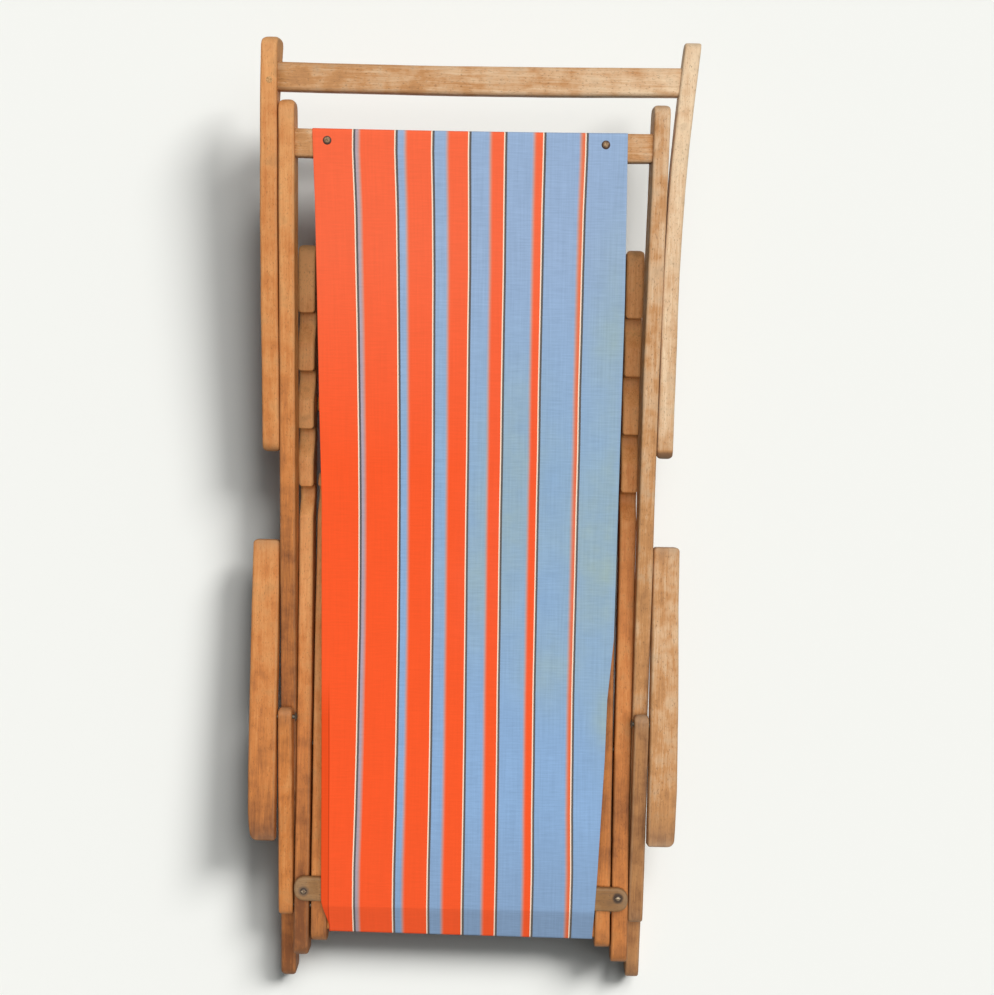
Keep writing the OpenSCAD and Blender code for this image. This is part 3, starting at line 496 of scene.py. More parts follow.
def beech_material(name, dark, middle, light, worn, grime, fleck, fleck_share, screws):
    """Old oiled beech, planed and handled for decades.
    Beech gives fine broken streaks 1 to 2 mm wide, short darker ray flecks about 4 mm long and mottling a finger wide,
    in a tone that changes along each piece and also carries painted light and shade; edges are rubbed and ends gone
    grey, with a waxy sheen and no varnish.
    Round each screw, given as a place in grain coordinates, rust has soaked into the wood as a ring 5 to 8 mm wide."""
    material, tree = fresh(name)
    grain, wear, tone = (add(tree, "ShaderNodeAttribute", give=give, attribute_name=key)
                         for key, give in (("grain", "Vector"), ("wear", "Fac"), ("tone", "Fac")))
    # Streaks: 420 per metre across is a feature of about 2 mm, drawn twice as coarse as the real grain to show
    streaks = drawn_out(tree, grain, (420, 26, 420), Detail=4.0, Roughness=0.62, Distortion=0.7)
    bands = drawn_out(tree, grain, (90, 5, 90), Detail=2.0, Distortion=0.8)
    rays = drawn_out(tree, grain, (760, 250, 760), Detail=1.0)
    flecks = add(tree, "ShaderNodeValToRGB", {"Fac": rays}, stops=((0.62, 0.0), (0.72, 1.0)))
    patches = add(tree, "ShaderNodeTexNoise", {"Vector": grain, "Scale": 34.0, "Detail": 4.0, "Roughness": 0.6})
    # The tone moves the colour along the ramp: it holds the wood's own tone and painted light and shade
    spot = weighed(tree, -0.485, (streaks, 0.62), (bands, 0.5), (patches, 0.85), (tone, 0.5))
    bare = add(tree, "ShaderNodeValToRGB", {"Fac": spot}, stops=((0.0, dark), (0.5, middle), (1.0, light)))
    rubbed = add(tree, "ShaderNodeMath", {0: wear, 1: patches}, operation="MULTIPLY")
    soiled = add(tree, "ShaderNodeMapRange", {"Value": patches, "From Min": 0.56, "From Max": 0.74, "To Max": 0.4})
    coats = [(weighed(tree, 0.0, (flecks, fleck_share)), fleck), (rubbed, worn), (soiled, grime)]
    for head, rust, depth in screws:
        away = add(tree, "ShaderNodeVectorMath", {0: grain, 1: head}, give="Value", operation="DISTANCE")
        away = weighed(tree, -0.0015, (away, 1.0), (patches, 0.003))
        coats.append((add(tree, "ShaderNodeMapRange", {"Value": away, "From Min": 0.0062, "From Max": 0.0092,
                                                       "To Min": depth, "To Max": 0.0}), rust))
    rough = add(tree, "ShaderNodeMapRange", {"Value": streaks, "To Min": 0.45, "To Max": 0.7})
    relief = add(tree, "ShaderNodeMath", {0: streaks, 1: flecks}, operation="SUBTRACT")
    finish = {"Base Color": coated(tree, bare, *coats), "Roughness": rough, "Specular IOR Level": 0.3}
    return surfaced(material, finish, relief, 0.35, 0.4)


# Middles of the cream lines and the ends of the blue bands after them, in mm from the middle of the cloth
CREAM_LINES = (-155, -98.5, -49.8, -1, 47.5, 100, 157)
BLUE_ENDS = (8.2, 13.4, 20.3, 29.2, 39.8, 50.2)
# Where each cream line and the dark one beside it run, in mm from the cream line's middle
CREAM = (-1.1, 0.6)
DARK = (0.6, 3.5)
PATTERN_HALF = 230
# How much the threads lighten and darken the cloth, and how much more the blue
THREADS = 0.3
BLUE_THREADS = 0.36


def band_stops(settings):
    """Stops of the wide bands: from each line a blue band, wider than the last, that bleeds softly into the red.
    The first band is so narrow that the red beside it turns it lilac."""
    stops = []
    for k, line in enumerate(CREAM_LINES):
        blue = settings.lilac if k == 0 else settings.blue
        stops += [(line + 0.6, settings.narrow_red if k == 6 else settings.red), (line + 1.8, blue)]
        if k < len(BLUE_ENDS):
            end = line + BLUE_ENDS[k]
            red = settings.narrow_red if k == 5 else settings.red
            stops += [(end - 2.4, blue), (end + 0.3, settings.bleed), (end + 3.0, red)]
    return [((x + PATTERN_HALF) / (2 * PATTERN_HALF), colour) for x, colour in stops]


def woven_lines(tree, spot, low, high):
    """1 from low to high mm beside the middle of any cream line, else 0: a ramp would be too coarse for a thread's
    width, so each line is compared with the place itself."""
    middles = [(line + (low + high) / 2) * MM for line in CREAM_LINES]
    half = (high - low) / 2 * MM
    return weighed(tree, 0.0, *((add(tree, "ShaderNodeMath", {0: spot, 1: middle, 2: half}, operation="COMPARE"), 1.0)
                                for middle in middles))


def canvas_material(settings):
    """Plain-woven striped cotton deck canvas, sun-faded towards the head and stained.
    Its threads are about 0.6 mm apart: too fine to show here, so warp streaks and weft slubs are drawn 2 to 3 times
    as coarse. It is matt, with a slight cotton sheen; stains turn the blue grey, below the lath, where the cloth turns
    down away from the light, it is darkened as painted shade, and the turned-in edge at the lower left shows as a
    deeper strip with a dark line of stitches."""
    material, tree = fresh("Woven cotton canvas, striped and faded")
    weave = add(tree, "ShaderNodeUVMap", uv_map="weave")
    fade, stain, fold, seam, soil = (add(tree, "ShaderNodeAttribute", give="Fac", attribute_name=key)
                                     for key in ("fade", "stain", "fold", "seam", "soil"))
    warp = drawn_out(tree, weave, (420, 12, 1), Detail=2.0)
    weft = drawn_out(tree, weave, (36, 460, 1), Detail=2.0)
    clouds = add(tree, "ShaderNodeTexNoise", {"Vector": weave, "Scale": 14.0, "Detail": 5.0, "Roughness": 0.6})
    jitter = drawn_out(tree, weave, (3, 780, 3))
    spot = weighed(tree, -0.0004, (add(tree, "ShaderNodeSeparateXYZ", {"Vector": weave}), 1.0), (jitter, 0.0008))
    edge = PATTERN_HALF * MM
    across = add(tree, "ShaderNodeMapRange", {"Value": spot, "From Min": -edge, "From Max": edge})
    bands = add(tree, "ShaderNodeValToRGB", {"Fac": across}, stops=band_stops(settings))
    redness = add(tree, "ShaderNodeSeparateColor", {"Color": bands})
    bluish = add(tree, "ShaderNodeMapRange", {"Value": redness, "From Min": 0.9, "From Max": 0.3})
    stain = add(tree, "ShaderNodeMath", {0: stain, 1: clouds}, operation="MULTIPLY")
    share = weighed(tree, 0.06, (bluish, 1.3))
    stain = add(tree, "ShaderNodeMath", {0: stain, 1: share}, operation="MULTIPLY", use_clamp=True)
    strip = add(tree, "ShaderNodeMapRange", {"Value": seam, "From Min": 0.4, "From Max": -0.4})
    strip = add(tree, "ShaderNodeMath", {0: strip, 1: fold}, operation="MULTIPLY")
    stitch = add(tree, "ShaderNodeMath", {0: seam}, operation="ABSOLUTE")
    stitch = add(tree, "ShaderNodeMapRange", {"Value": stitch, "From Min": 1.3, "From Max": 0.3})
    stitch = add(tree, "ShaderNodeMath", {0: stitch, 1: fold}, operation="MULTIPLY")
    # Painted shade below the lath: it greys the blue more than the red
    soil = add(tree, "ShaderNodeMath", {0: soil, 1: weighed(tree, 0.07, (bluish, 0.2))}, operation="MULTIPLY")
    colour = coated(tree, bands, (weighed(tree, 0.0, (fade, 0.09)), settings.faded), (stain, settings.stain),
                    (weighed(tree, 0.0, (strip, 0.6)), settings.turned),
                    (woven_lines(tree, spot, *DARK), settings.dark_line),
                    (woven_lines(tree, spot, *CREAM), settings.cream),
                    (weighed(tree, 0.0, (stitch, 0.6)), settings.seam), (soil, settings.soil))
    threads = weighed(tree, 0.0, (weft, 0.45), (warp, 0.35), (clouds, 0.2))
    depth = weighed(tree, THREADS, (bluish, BLUE_THREADS))
    # Threads are about a half on average, so half their depth is added back
    level = weighed(tree, 1.0 - 0.5 * THREADS, (bluish, -0.5 * BLUE_THREADS))
    level = add(tree, "ShaderNodeMath", {0: threads, 1: depth, 2: level}, operation="MULTIPLY_ADD")
    colour = add(tree, "ShaderNodeMix", {0: 1.0, 6: colour, 7: level}, give=2, data_type="RGBA", blend_type="MULTIPLY")
    finish = {"Base Color": colour, "Roughness": 0.9, "Specular IOR Level": 0.08, "Sheen Weight": 0.04}
    return surfaced(material, finish, threads, 0.2, 0.3)


def metal_material(name, bright, dull, rust, roughness, rim=None):
    """Old bare steel or bronzed nails, forged or turned, and handled.
    The metal keeps its sheen on the high spots, and blooms of dull oxide 2 to 6 mm wide make the rest rough and brown.
    With a rim colour, domed heads are rubbed bright on top and stay rusty where they slope down to the wood."""
    material, tree = fresh(name)
    spot = add(tree, "ShaderNodeTexCoord", give="Object")
    bloom = add(tree, "ShaderNodeTexNoise", {"Vector": spot, "Scale": 260.0, "Detail": 4.0, "Roughness": 0.65})
    colour = add(tree, "ShaderNodeValToRGB", {"Fac": bloom}, stops=((0.36, bright), (0.6, dull)))
    rusty = add(tree, "ShaderNodeMapRange", {"Value": bloom, "From Min": 0.55, "From Max": 0.7})
    colour = coated(tree, colour, (rusty, rust))
    metal = add(tree, "ShaderNodeMapRange", {"Value": bloom, "From Min": 0.5, "From Max": 0.7, "To Min": 0.9,
                                             "To Max": 0.35})
    if rim:
        normal = add(tree, "ShaderNodeTexCoord", give="Normal")
        upwards = add(tree, "ShaderNodeSeparateXYZ", {"Vector": normal}, give=2)
        level = add(tree, "ShaderNodeMath", {0: upwards}, operation="ABSOLUTE")
        sloping = add(tree, "ShaderNodeMapRange", {"Value": level, "From Min": 0.95, "From Max": 0.84})
        colour = coated(tree, colour, (sloping, rim))
        flat = weighed(tree, 0.5, (sloping, -0.5))
        metal = add(tree, "ShaderNodeMath", {0: metal, 1: flat}, operation="MULTIPLY")
    rough = add(tree, "ShaderNodeMapRange", {"Value": bloom, "From Min": 0.3, "From Max": 0.7, "To Min": roughness,
                                             "To Max": 0.75})
    return surfaced(material, {"Base Color": colour, "Metallic": metal, "Roughness": rough}, bloom, 0.3, 0.3)


def peg_material():
    """End grain of beech pegs, driven and pared flush: small open pores, in the tone of the faces round them."""
    material, tree = fresh("Beech end grain, pared flush")
    spot = add(tree, "ShaderNodeTexCoord", give="Object")
    pores = add(tree, "ShaderNodeTexNoise", {"Vector": spot, "Scale": 700.0, "Detail": 2.0})
    colour = add(tree, "ShaderNodeValToRGB", {"Fac": pores}, stops=((0.36, "#9A6834"), (0.62, "#D8A468")))
    return surfaced(material, {"Base Color": colour, "Roughness": 0.7}, pores, 0.4, 0.3)


def tint(name, default, description="sRGB hex"):
    """A colour that the user may change."""
    return StringProperty(name=name, description=description, default=default)


class DeckChairWood(bpy.types.PropertyGroup):
    """Sizes and colours of the wood."""
    edge: FloatProperty(name="Edge rounding", description="Radius of the long edges, in mm", default=2.8, min=0.5)
    waviness: FloatProperty(name="Waviness", description="How far old faces wander from straight, in mm", default=0.28)
    honey_dark: tint("Honey beech, dark", "#76421C")
    honey_middle: tint("Honey beech, middle", "#C87B3B")
    honey_light: tint("Honey beech, light", "#E8A868")
    # The pale beech's tones are partly painted light: they are paler for the stronger light on the chair's right
    pale_dark: tint("Pale beech, dark", "#805430")
    pale_middle: tint("Pale beech, middle", "#C28A54")
    pale_light: tint("Pale beech, light", "#F0D2AC")
    grey_dark: tint("Weathered beech, dark", "#584230")
    grey_middle: tint("Weathered beech, middle", "#8E6438")
    grey_light: tint("Weathered beech, light", "#B08A60")


class DeckChairCloth(bpy.types.PropertyGroup):
    """Sizes and colours of the canvas."""
    thickness: FloatProperty(name="Thickness", description="Thickness of the canvas, in mm", default=1.2, min=0.5)
    red: tint("Red", "#FB5A2A")
    cream: tint("Cream", "#FFE6CC")
    dark_line: tint("Dark line", "#625E5C")
    blue: tint("Blue", "#8DAED4")
    bleed: tint("Red into blue", "#CE9484")
    narrow_red: tint("Narrow red", "#EC6A40")
    lilac: tint("Narrow blue", "#B0A2B0")
    faded: tint("Faded", "#E8C8A8", "What the sun takes the head end towards, as sRGB hex")
    stain: tint("Stain", "#9CB2B4")
    turned: tint("Turned edge", "#E24614")
    seam: tint("Seam", "#A8300E")
    # Colour of the painted shade on the cloth below the lath
    soil: tint("Knee shade", "#615545")


class DeckChairStudio(bpy.types.PropertyGroup):
    """Light and floor of the studio."""
    low_light: FloatProperty(name="Low floor light", default=3.15,
                             description="Strength of the lower light on the floor, in W/m2")
    high_light: FloatProperty(name="High floor light", default=1.06,
                              description="Strength of the higher light on the floor, in W/m2")
    wide_light: FloatProperty(name="Wide floor light", default=1.05,
                              description="Strength of the broad light on the floor, in W/m2")
    floor_light_size: FloatProperty(name="Floor lights' width", description="Softness of the shadow on the floor",
                                    default=math.radians(20), subtype="ANGLE", unit="ROTATION")
    wide_light_size: FloatProperty(name="Wide floor light's width", description="How broad that light is",
                                   default=math.radians(75), subtype="ANGLE", unit="ROTATION")
    soft_light: FloatProperty(name="Chair light", default=3.2,
                              description="Strength of the light on the chair, in W/m2")
    soft_light_size: FloatProperty(name="Chair light's width", description="Softness of the shadows on the chair",
                                   default=math.radians(70), subtype="ANGLE", unit="ROTATION")
    sky: FloatProperty(name="Fill", description="Strength of the even light from all round", default=0.065)
    floor: tint("Floor", "#F5F5F0")
    bounce: tint("Floor's bounce", "#6C6862", "Colour of the floor as it lights the chair, as sRGB hex")


MATERIALS = {}
# The beeches by slot: name, what its three tones are called in the settings, worn, grime, fleck, share of the flecks
# The pale beech is partly a paler wood and partly painted light, for the stronger light on the chair's right
BEECHES = {
    "beech": ("Honey beech, oiled and rubbed", "honey", "#8A7258", "#86521F", "#6E421C", 0.4),
    "pale_beech": ("Pale beech, oiled and rubbed", "pale", "#A8947C", "#946A40", "#765231", 0.5),
    "grey_wood": ("Weathered beech, gone grey", "grey", "#9A8368", "#5C4836", "#4E3A28", 0.55),
}
# Rust round the lath's screws: which side, its colour, and how much of it shows
RUST = ((-1, "#5F4C3C", 0.8), (1, "#3A2A1E", 0.95))


def wood(kind):
    """The beech of that kind, made once and shared. The grey one is the lath's, with the rust of its screws."""
    if kind not in MATERIALS:
        name, tones, *others = BEECHES[kind]
        settings = bpy.context.scene.deck_chair_wood
        tones = [getattr(settings, f"{tones}_{tone}") for tone in ("dark", "middle", "light")]
        middle, top = (LATH[0] + LATH[1]) / 2, LATH[3] + LATH[2] / 2
        screws = [(tuple(np.array([middle, side * LATH_SCREW_X, top]) * MM + grain_shift(LATH_SEED)), rust, depth)
                  for side, rust, depth in RUST if kind == "grey_wood"]
        MATERIALS[kind] = beech_material(name, *tones, *others, screws)
    return MATERIALS[kind]


class DECKCHAIR_OT_back_frame(bpy.types.Operator):
    """Back frame: two long stiles with rounded ends, the head rail and the low rail"""
    bl_idname = "deck_chair.back_frame"
    bl_label = "Back frame"

    def execute(self, context):
        for (end, side, slot), span, seed, foot_r, head_r in zip(SIDES, (LEFT_BACK_Y, RIGHT_BACK_Y), (10, 20),
                                                                 (11.2, 6), (8, 6)):
            stile("back_stile_" + end, span, side * BACK_X, STILE_D, IN_BACK, slot, "back_frame", seed, foot_r, head_r)
        rail("head_rail", HEAD_RAIL, BACK_X, IN_BACK, "back_frame", 30, tenons=(5, 5), shift=(-1.6, -1.6), sag=2.0)
        rail("foot_rail", FOOT_RAIL, BACK_X, IN_BACK, "back_frame", 35, corner=3.0)
        return {"FINISHED"}


class DECKCHAIR_OT_seat_frame(bpy.types.Operator):
    """Seat frame: two notched stiles, the rear spreader and the round-ended knee lath"""
    bl_idname = "deck_chair.seat_frame"
    bl_label = "Seat frame"

    def execute(self, context):
        for (end, side, slot), seed, front_r in zip(SIDES, (40, 50), (8, 4)):
            stile("seat_stile_" + end, SEAT_Y, side * SEAT_X, STILE_D, IN_SEAT, slot, "seat_frame", seed, front_r,
                  notches=NOTCH_WALLS)
        rail("seat_spreader", SPREADER, SEAT_X, IN_SEAT, "seat_frame", 55)
        low, high, thick, middle = LATH
        corner = (high - low) / 2 - 2
        lath = board((-LATH_HALF, LATH_HALF), thick, middle, lambda x: low + np.interp(x, (-240, 240), (2.8, -3.2)),
                     lambda x: high + np.interp(x, (-240, 240), (3.6, -3.4)), (corner,) * 4, LATH_SEED, 4.0, 0.3)
        wooden("knee_lath", lath, IN_SEAT, "grey_wood", "seat_frame", LATH_SEED, crosswise=True)
        return {"FINISHED"}


class DECKCHAIR_OT_canvas_frame(bpy.types.Operator):
    """Canvas frame: two inner stiles that lean in a little, and the rail inside the cloth's lower hem"""
    bl_idname = "deck_chair.canvas_frame"
    bl_label = "Canvas frame"

    def execute(self, context):
        for (end, side, slot), seed in zip(SIDES, (70, 80)):
            stile("canvas_stile_" + end, CANVAS_Y, side * CANVAS_X, STILE_D, IN_SEAT, slot, "seat_frame", seed,
                  3.0, 3.0, lean=-side * CANVAS_LEAN, notches=NOTCH_WALLS[-1:])
        rail("canvas_rail", CANVAS_RAIL, CANVAS_X, IN_SEAT, "seat_frame", 85, shift=HEM_SHIFT)
        return {"FINISHED"}


class DECKCHAIR_OT_strut(bpy.types.Operator):
    """Strut: a straight left stile, a right stile that bows outwards, and the rail for the notches"""
    bl_idname = "deck_chair.strut"
    bl_label = "Strut"

    def execute(self, context):
        stile("strut_stile_left", STRUT_Y, -STRUT_X, STRUT_D, IN_STRUT, "beech", "strut", 90)
        stile("strut_stile_right", STRUT_Y, STRUT_X, STRUT_D, IN_STRUT, "pale_beech", "strut", 100, far_r=3.0, bow=BOW)
        # The right stile has bowed away from the rail, which reaches after it
        rail("strut_rail", STRUT_RAIL, STRUT_X, IN_STRUT, "strut", 105, corner=5.0, tenons=(1, 17), sag=2.2)
        return {"FINISHED"}


class DECKCHAIR_OT_arms(bpy.types.Operator):
    """Arms: two broad armrests with one round front corner, and the posts that carry them"""
    bl_idname = "deck_chair.arms"
    bl_label = "Arms"

    def execute(self, context):
        widths = (ARM_FRONT_W, ARM_FRONT_W, ARM_REAR_W)
        for (end, side, slot), span, seed, corner in zip(SIDES, (LEFT_ARM_Y, RIGHT_ARM_Y), (110, 120), (9, 10)):
            name, places = "armrest_" + end, (span[0], span[0] + 90, span[1])
            outer = lambda y: ARM_IN + np.interp(y, places, widths) + drifts(name, y)[0]
            inner = lambda y: ARM_IN + drifts(name, y)[1]
            grid = board(span, ARM_T, 0, inner, outer, (2.5, corner, 6, 6), seed, 3.2)
            grid = rolled(name, grid, ARM_T) * np.array([side, 1, 1])
            wooden(name, grid, IN_ARM, slot, "arm_" + end, seed)
            stile("post_" + end, POST_Y, side * POST_X, POST_D, IN_POST, slot, "arm_post_" + end, seed + 5, 6.0, 6.0)
        return {"FINISHED"}


# The cloth's edges, in mm from the chair's middle, at places along the back frame from the knee to the head
LEFT_EDGE = ((-290, -270, -226, -193, -11, 78, 226, 371, 514, 654, 792, 888),
             (-195.1, -195.1, -206.1, -206.2, -206.2, -206.6, -207.2, -207.8, -211.9, -215.3, -218.9, -222.8))
RIGHT_EDGE = ((-290, -274, -233, -184, -2, 88, 176, 380, 662, 888),
              (196.6, 196.6, 198.2, 200.6, 207.1, 208.3, 215.4, 216.2, 217.4, 215.1))
SEAM_X = -195.3
# In mm: how long the flat hems are, how high the front swells, how much thicker the turned-in edge is, and how far the
# cloth stands off what it lies on
HEM = 60
SWELL = 0.5
TURNED_THICK = 0.9
CLOTH_GAP = 0.05
# How far the lower hem sits towards the lath at its left and right ends, and the upper one down the head rail
HEM_SHIFT = (5.4, 2.3)
HEAD_SHIFT = (-2.6, -0.9)
# How far the woven lines wander at the left, middle and right of the cloth
WANDER_Y = (-176, -84, 6, 95, 184, 271, 358, 444, 529, 614, 697, 780, 862)
WANDER_LEFT = (-4.3, -2.0, -0.3, 0.8, 1.8, 1.9, 1.4, 0.2, -1.5, -3.2, -5.5, -7.6, -11.4)
WANDER_MIDDLE = (2.7, 2.7, 2.5, 1.9, 1.4, 0.6, 0.1, 0.0, -0.6, -1.1, -1.2, -2.5, -3.9)
WANDER_RIGHT = (5.0, 2.6, 1.3, 0.1, -0.1, -0.1, -0.4, -0.3, -1.1, -1.0, -1.0, -0.8, 0.5)
# Stains: place across and along, their spread both ways, and their strength
STAINS = ((185, 300, 45, 150, 1.1), (120, 130, 40, 60, 0.8), (195, 620, 30, 120, 0.8), (70, 420, 60, 150, 0.9),
          (20, 250, 60, 110, 0.7), (205, 60, 22, 60, 0.8), (208, 400, 12, 330, 0.35), (-60, 520, 60, 160, 0.2))


def belt_path(step=6.0):
    """The cloth's inner face as a belt round its bends: arcs of the bend radius between straight tangents.
    It gives the points, their outward normals and the distance along, in the back frame, from the head hem on."""
    bends = np.array(CLOTH_BENDS, float)
    runs = np.diff(bends, axis=0)
    angles = np.degrees(np.arctan2(runs[:, 1], runs[:, 0])) - 90
    points, normals = [], []
    for k in range(len(runs)):
        n = np.array([math.cos(math.radians(angles[k])), math.sin(math.radians(angles[k]))])
        count = max(3, int(np.hypot(*runs[k]) / step))
        t = np.linspace(0, 1, count)[:, None]
        points.append(bends[k] + t * runs[k] + n * CLOTH_BEND_R)
        normals.append(np.repeat(n[None], count, 0))
        if k + 1 < len(runs):
            turn = (angles[k + 1] - angles[k] + 180) % 360 - 180
            a = np.radians(angles[k] + turn * np.linspace(0, 1, 8)[1:-1])
            n = np.stack([np.cos(a), np.sin(a)], 1)
            points.append(bends[k + 1] + n * CLOTH_BEND_R)
            normals.append(n)
    points, normals = np.concatenate(points), np.concatenate(normals)
    distance = np.concatenate([[0], np.cumsum(np.hypot(*np.diff(points, axis=0).T))])
    return points, normals, distance


def ramp(value, start, end):
    """0 up to the start, 1 from the end on, and straight between them."""
    return np.clip((value - start) / (end - start), 0, 1)


class DECKCHAIR_OT_canvas(bpy.types.Operator):
    """Canvas: one closed cloth from the hem behind the head rail, over the lath and round the canvas rail"""
    bl_idname = "deck_chair.canvas"
    bl_label = "Canvas"

    def execute(self, context):
        s = context.scene.deck_chair_cloth
        path, normal, distance = belt_path()
        y = path[:, :1]
        left, right = np.interp(y, *LEFT_EDGE), np.interp(y, *RIGHT_EDGE)
        seam = np.maximum(left + 0.4, np.minimum(left + 10.9, SEAM_X))
        turned = np.array([0, 0.1, 0.4, 0.75, 0.97])
        plain = np.concatenate([[0.002], np.linspace(0.012, 0.988, 58), [0.996, 1.0]])
        x = np.concatenate([left + (seam - left) * turned, seam + (right - seam) * plain], 1)
        # The turned-in edge is thicker, both hems sit askew on their rails, and the front swells in soft waves
        fold = ramp(y, 110, 50) * ramp(y, -300, -290)
        thick = fold * (x < seam) * TURNED_THICK
        tilt = np.interp(x, (-195, 197), HEM_SHIFT) * ramp(y, -238, -272)
        tilt = tilt + (HEAD_SHIFT[0] + HEAD_SHIFT[1] * (1 - (x / 220) ** 2)) * ramp(y, 800, 870)
        front = ((distance > HEM) & (distance < distance[-1] - HEM))[:, None]
        swell = np.where(front, SWELL * np.sin(x / 31 + 1.3 * np.sin(y / 140)) * np.sin(y / 85), 0)
        outer_up = s.thickness + thick + np.maximum(swell, -0.2)
        inner_up = CLOTH_GAP + np.maximum(swell, 0) * 0.8
        outer, inner = (np.stack([x, y + normal[:, :1] * up + tilt, path[:, 1:] + normal[:, 1:] * up], -1)
                        for up in (outer_up, inner_up))
        loop = np.concatenate([outer, inner[:, ::-1]], 1)
        low, middle, high = (np.interp(y, WANDER_Y, w) for w in (WANDER_LEFT, WANDER_MIDDLE, WANDER_RIGHT))
        wander = ramp(x, -155, 0) * (middle - low) + low + ramp(x, 0, 157) * (high - middle)
        stain = sum(k * np.exp(-((x - cx) / sx) ** 2 - ((y - cy) / sy) ** 2) for cx, cy, sx, sy, k in STAINS)
        # Painted shade, full below the lath where the cloth turns away from the light; above it a darkening from the
        # middle to the lath
        soil = np.maximum(ramp(y, -226, -236), np.minimum(ramp(y, -80, -300), 0.55))

        def both(values):
            """Values across the outer face, and back across the inner one."""
            values = np.broadcast_to(values, x.shape)
            return np.concatenate([values, values[:, ::-1]], 1).ravel()

        attributes = {"fold": both(fold), "seam": both(x - seam), "stain": both(stain), "soil": both(soil),
                      "fade": both(ramp(y, 420, 720))}
        weave = np.stack([both(x - wander), both(distance[:, None])], 1) * MM
        cloth = new_piece("canvas_sling", laid(loop, IN_BACK).reshape(-1, 3), tube_faces(*loop.shape[:2]), attributes,
                          canvas_material(s), weave)
        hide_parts("canvas")
        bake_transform(cloth)
        return {"FINISHED"}


PEGS = ("head_rail_pegs", "foot_rail_pegs", "spreader_pegs", "canvas_rail_pegs", "strut_pegs")
NAILS = ("canvas_nails", "head_tacks", "knee_tacks")
SCREWS = ("lath_screws",)
STEEL = ("crossing_bolts", "crossing_spacers", "crossing_washers", "crossing_nuts", "post_bolts",
         "post_washers", "post_nuts", "strut_bolts", "strut_washers", "strut_nuts", "arm_screws_left",
         "arm_screws_right", "arm_spacers_left", "arm_spacers_right")


class DECKCHAIR_OT_fittings(bpy.types.Operator):
    """Fittings: the finish of the bolts, screws, nails and pegs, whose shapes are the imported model's own"""
    bl_idname = "deck_chair.fittings"
    bl_label = "Fittings"

    def execute(self, context):
        finishes = (
            (PEGS, peg_material()),
            (NAILS, metal_material("Bronzed steel, domed nails", "#A08462", "#6E543C", "#50321E", 0.45, "#40281E")),
            (SCREWS, metal_material("Steel screws, rusty rims", "#B8A488", "#7E6850", "#5A3E28", 0.45, "#3A2A1E")),
            (STEEL, metal_material("Old bare steel, turned", "#7A7266", "#524A40", "#4A3424", 0.4)),
        )
        for names, material in finishes:
            for name in names:
                mesh = frame["nodes"][name].data
                mesh.materials.clear()
                mesh.materials.append(material)
        return {"FINISHED"}


LOW_LIGHT_FROM = (1.12, 1.12, 1.0)
HIGH_LIGHT_FROM = (0.4, 1.15, 1.0)
WIDE_LIGHT_FROM = (0.78, 1.1, 1.0)
SOFT_LIGHT_FROM = (0.2, 0.32, 1.0)
FILL_TINT = (0.86, 0.96, 1, 1)
# Half the floor's side, in metres
FLOOR_HALF = 6
# The camera: focal length in pixels of a frame that is 994 wide, turns about X, Y and Z in radians, place in metres
CAMERA_F = 1404.948
FRAME_W = 994
SENSOR_W = 36
CAMERA_TURN = (0.08173767, -0.01172704, -0.01982223)
CAMERA_AT = (0.06656848, 0.21459695, 2.09546957)


def showing(tree):
    """Output that is 1 for rays that show the background, straight, mirrored or through glass, and 0 for others."""
    path = add(tree, "ShaderNodeLightPath", give=None).outputs
    mirrored = add(tree, "ShaderNodeMath", {0: path["Is Camera Ray"], 1: path["Is Glossy Ray"]}, operation="MAXIMUM")
    return add(tree, "ShaderNodeMath", {0: mirrored, 1: path["Is Transmission Ray"]}, operation="MAXIMUM")


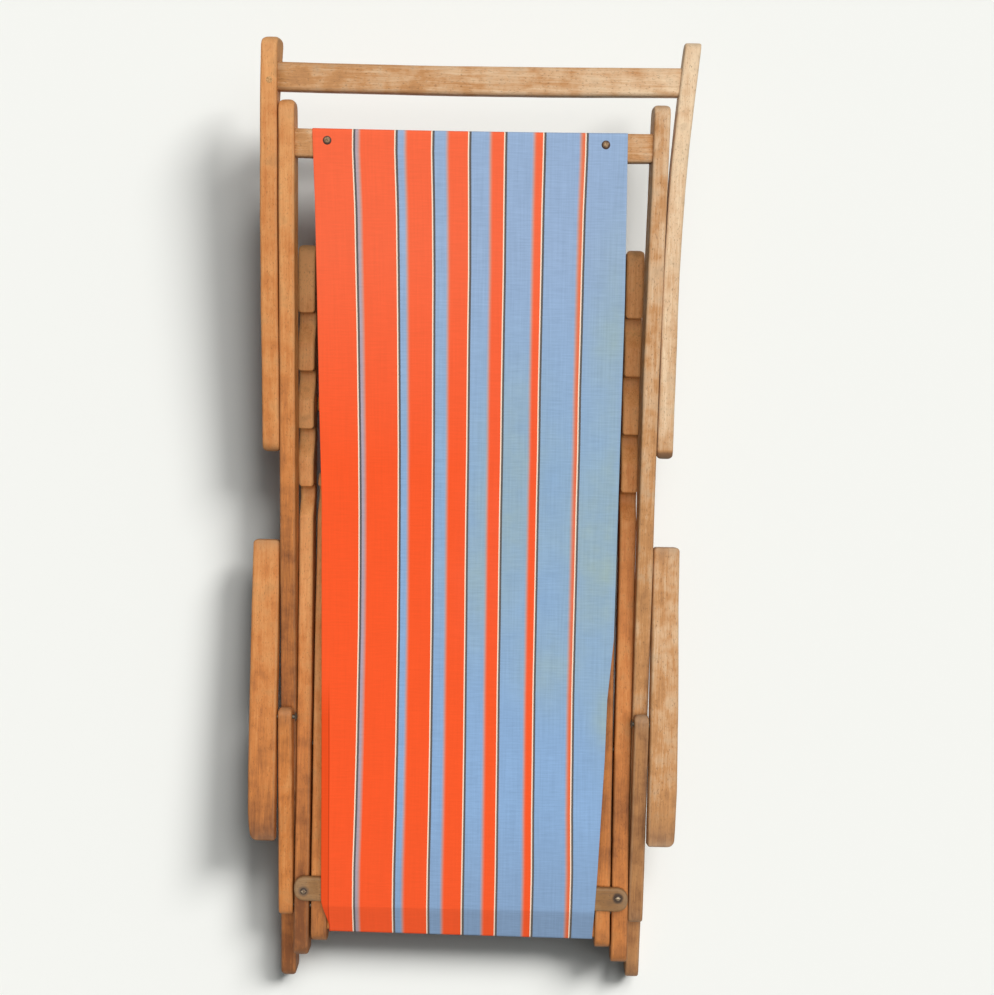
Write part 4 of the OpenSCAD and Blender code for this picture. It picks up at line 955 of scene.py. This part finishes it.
class DECKCHAIR_OT_studio(bpy.types.Operator):
    """Studio: the pale floor, three lights for the shadow on it, the chair's light, the fill and the camera"""
    bl_idname = "deck_chair.studio"
    bl_label = "Studio"

    def execute(self, context):
        s = context.scene.deck_chair_studio
        mesh = bpy.data.meshes.new("floor")
        corners = [(x * FLOOR_HALF, y * FLOOR_HALF, 0) for x, y in ((-1, -1), (1, -1), (1, 1), (-1, 1))]
        mesh.from_pydata(corners, [], [(0, 1, 2, 3)])
        floor = bpy.data.objects.new("floor", mesh)
        context.scene.collection.objects.link(floor)
        material, tree = fresh("Matt pale paper")
        colour = coated(tree, linear(s.bounce), (showing(tree), s.floor))
        mesh.materials.append(surfaced(material, {"Base Color": colour, "Roughness": 1.0, "Specular IOR Level": 0.0}))
        chair_only = bpy.data.collections.new("lit_by_soft_light")
        floor_only = bpy.data.collections.new("lit_by_floor_light")
        floor_only.objects.link(floor)
        for piece in context.scene.objects:
            if piece.type == "MESH" and piece != floor:
                chair_only.objects.link(piece)
        for name, energy, size, source, lit in (
                ("low_floor_light", s.low_light, s.floor_light_size, LOW_LIGHT_FROM, floor_only),
                ("high_floor_light", s.high_light, s.floor_light_size, HIGH_LIGHT_FROM, floor_only),
                ("wide_floor_light", s.wide_light, s.wide_light_size, WIDE_LIGHT_FROM, floor_only),
                ("soft_light", s.soft_light, s.soft_light_size, SOFT_LIGHT_FROM, chair_only)):
            sun = bpy.data.lights.new(name, "SUN")
            sun.energy = energy
            sun.angle = size
            lamp = bpy.data.objects.new(name, sun)
            context.scene.collection.objects.link(lamp)
            lamp.rotation_euler = Vector(source).to_track_quat("Z", "Y").to_euler()
            lamp.light_linking.receiver_collection = lit
        world = bpy.data.worlds.new("studio")
        world.use_nodes = True
        tree = world.node_tree
        tree.nodes.clear()
        light = add(tree, "ShaderNodeBackground", {"Color": FILL_TINT, "Strength": s.sky})
        seen = add(tree, "ShaderNodeBackground", {"Color": linear(s.floor), "Strength": 1.0})
        mixed = add(tree, "ShaderNodeMixShader", {0: showing(tree), 1: light, 2: seen})
        add(tree, "ShaderNodeOutputWorld", {"Surface": mixed}, give=None)
        context.scene.world = world
        camera = bpy.data.cameras.new("camera")
        camera.sensor_fit = "HORIZONTAL"
        camera.sensor_width = SENSOR_W
        camera.lens = CAMERA_F / FRAME_W * SENSOR_W
        stand = bpy.data.objects.new("camera", camera)
        context.scene.collection.objects.link(stand)
        ax, ay, az = CAMERA_TURN
        turn = Matrix.Rotation(az, 3, "Z") @ Matrix.Rotation(ay, 3, "Y") @ Matrix.Rotation(ax, 3, "X")
        stand.matrix_world = Matrix.Translation(CAMERA_AT) @ turn.transposed().to_4x4()
        context.scene.camera = stand
        context.scene.view_settings.view_transform = "Standard"
        return {"FINISHED"}


OPERATORS = (DECKCHAIR_OT_back_frame, DECKCHAIR_OT_seat_frame, DECKCHAIR_OT_canvas_frame, DECKCHAIR_OT_strut,
             DECKCHAIR_OT_arms, DECKCHAIR_OT_canvas, DECKCHAIR_OT_fittings, DECKCHAIR_OT_studio)


class DECKCHAIR_PT_sidebar(bpy.types.Panel):
    """Lists the steps that build the chair, and its settings"""
    bl_label = "Deck Chair"
    bl_idname = "DECKCHAIR_PT_sidebar"
    bl_space_type = "VIEW_3D"
    bl_region_type = "UI"
    bl_category = "Deck Chair"

    def draw(self, context):
        for operator in OPERATORS:
            self.layout.operator(operator.bl_idname)
        for key in GROUPS:
            group = getattr(context.scene, key)
            column = self.layout.column()
            for setting in group.__annotations__:
                column.prop(group, setting)


GROUPS = {"deck_chair_wood": DeckChairWood, "deck_chair_cloth": DeckChairCloth, "deck_chair_studio": DeckChairStudio}
CLASSES = (*GROUPS.values(), *OPERATORS, DECKCHAIR_PT_sidebar)


def register():
    for cls in CLASSES:
        bpy.utils.register_class(cls)
    for key, group in GROUPS.items():
        setattr(bpy.types.Scene, key, PointerProperty(type=group))


def unregister():
    for key in GROUPS:
        delattr(bpy.types.Scene, key)
    for cls in reversed(CLASSES):
        bpy.utils.unregister_class(cls)


def main():
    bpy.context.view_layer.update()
    register()
    for operator in OPERATORS:
        group, name = operator.bl_idname.split(".")
        getattr(getattr(bpy.ops, group), name)()


if __name__ == "__main__":
    main()
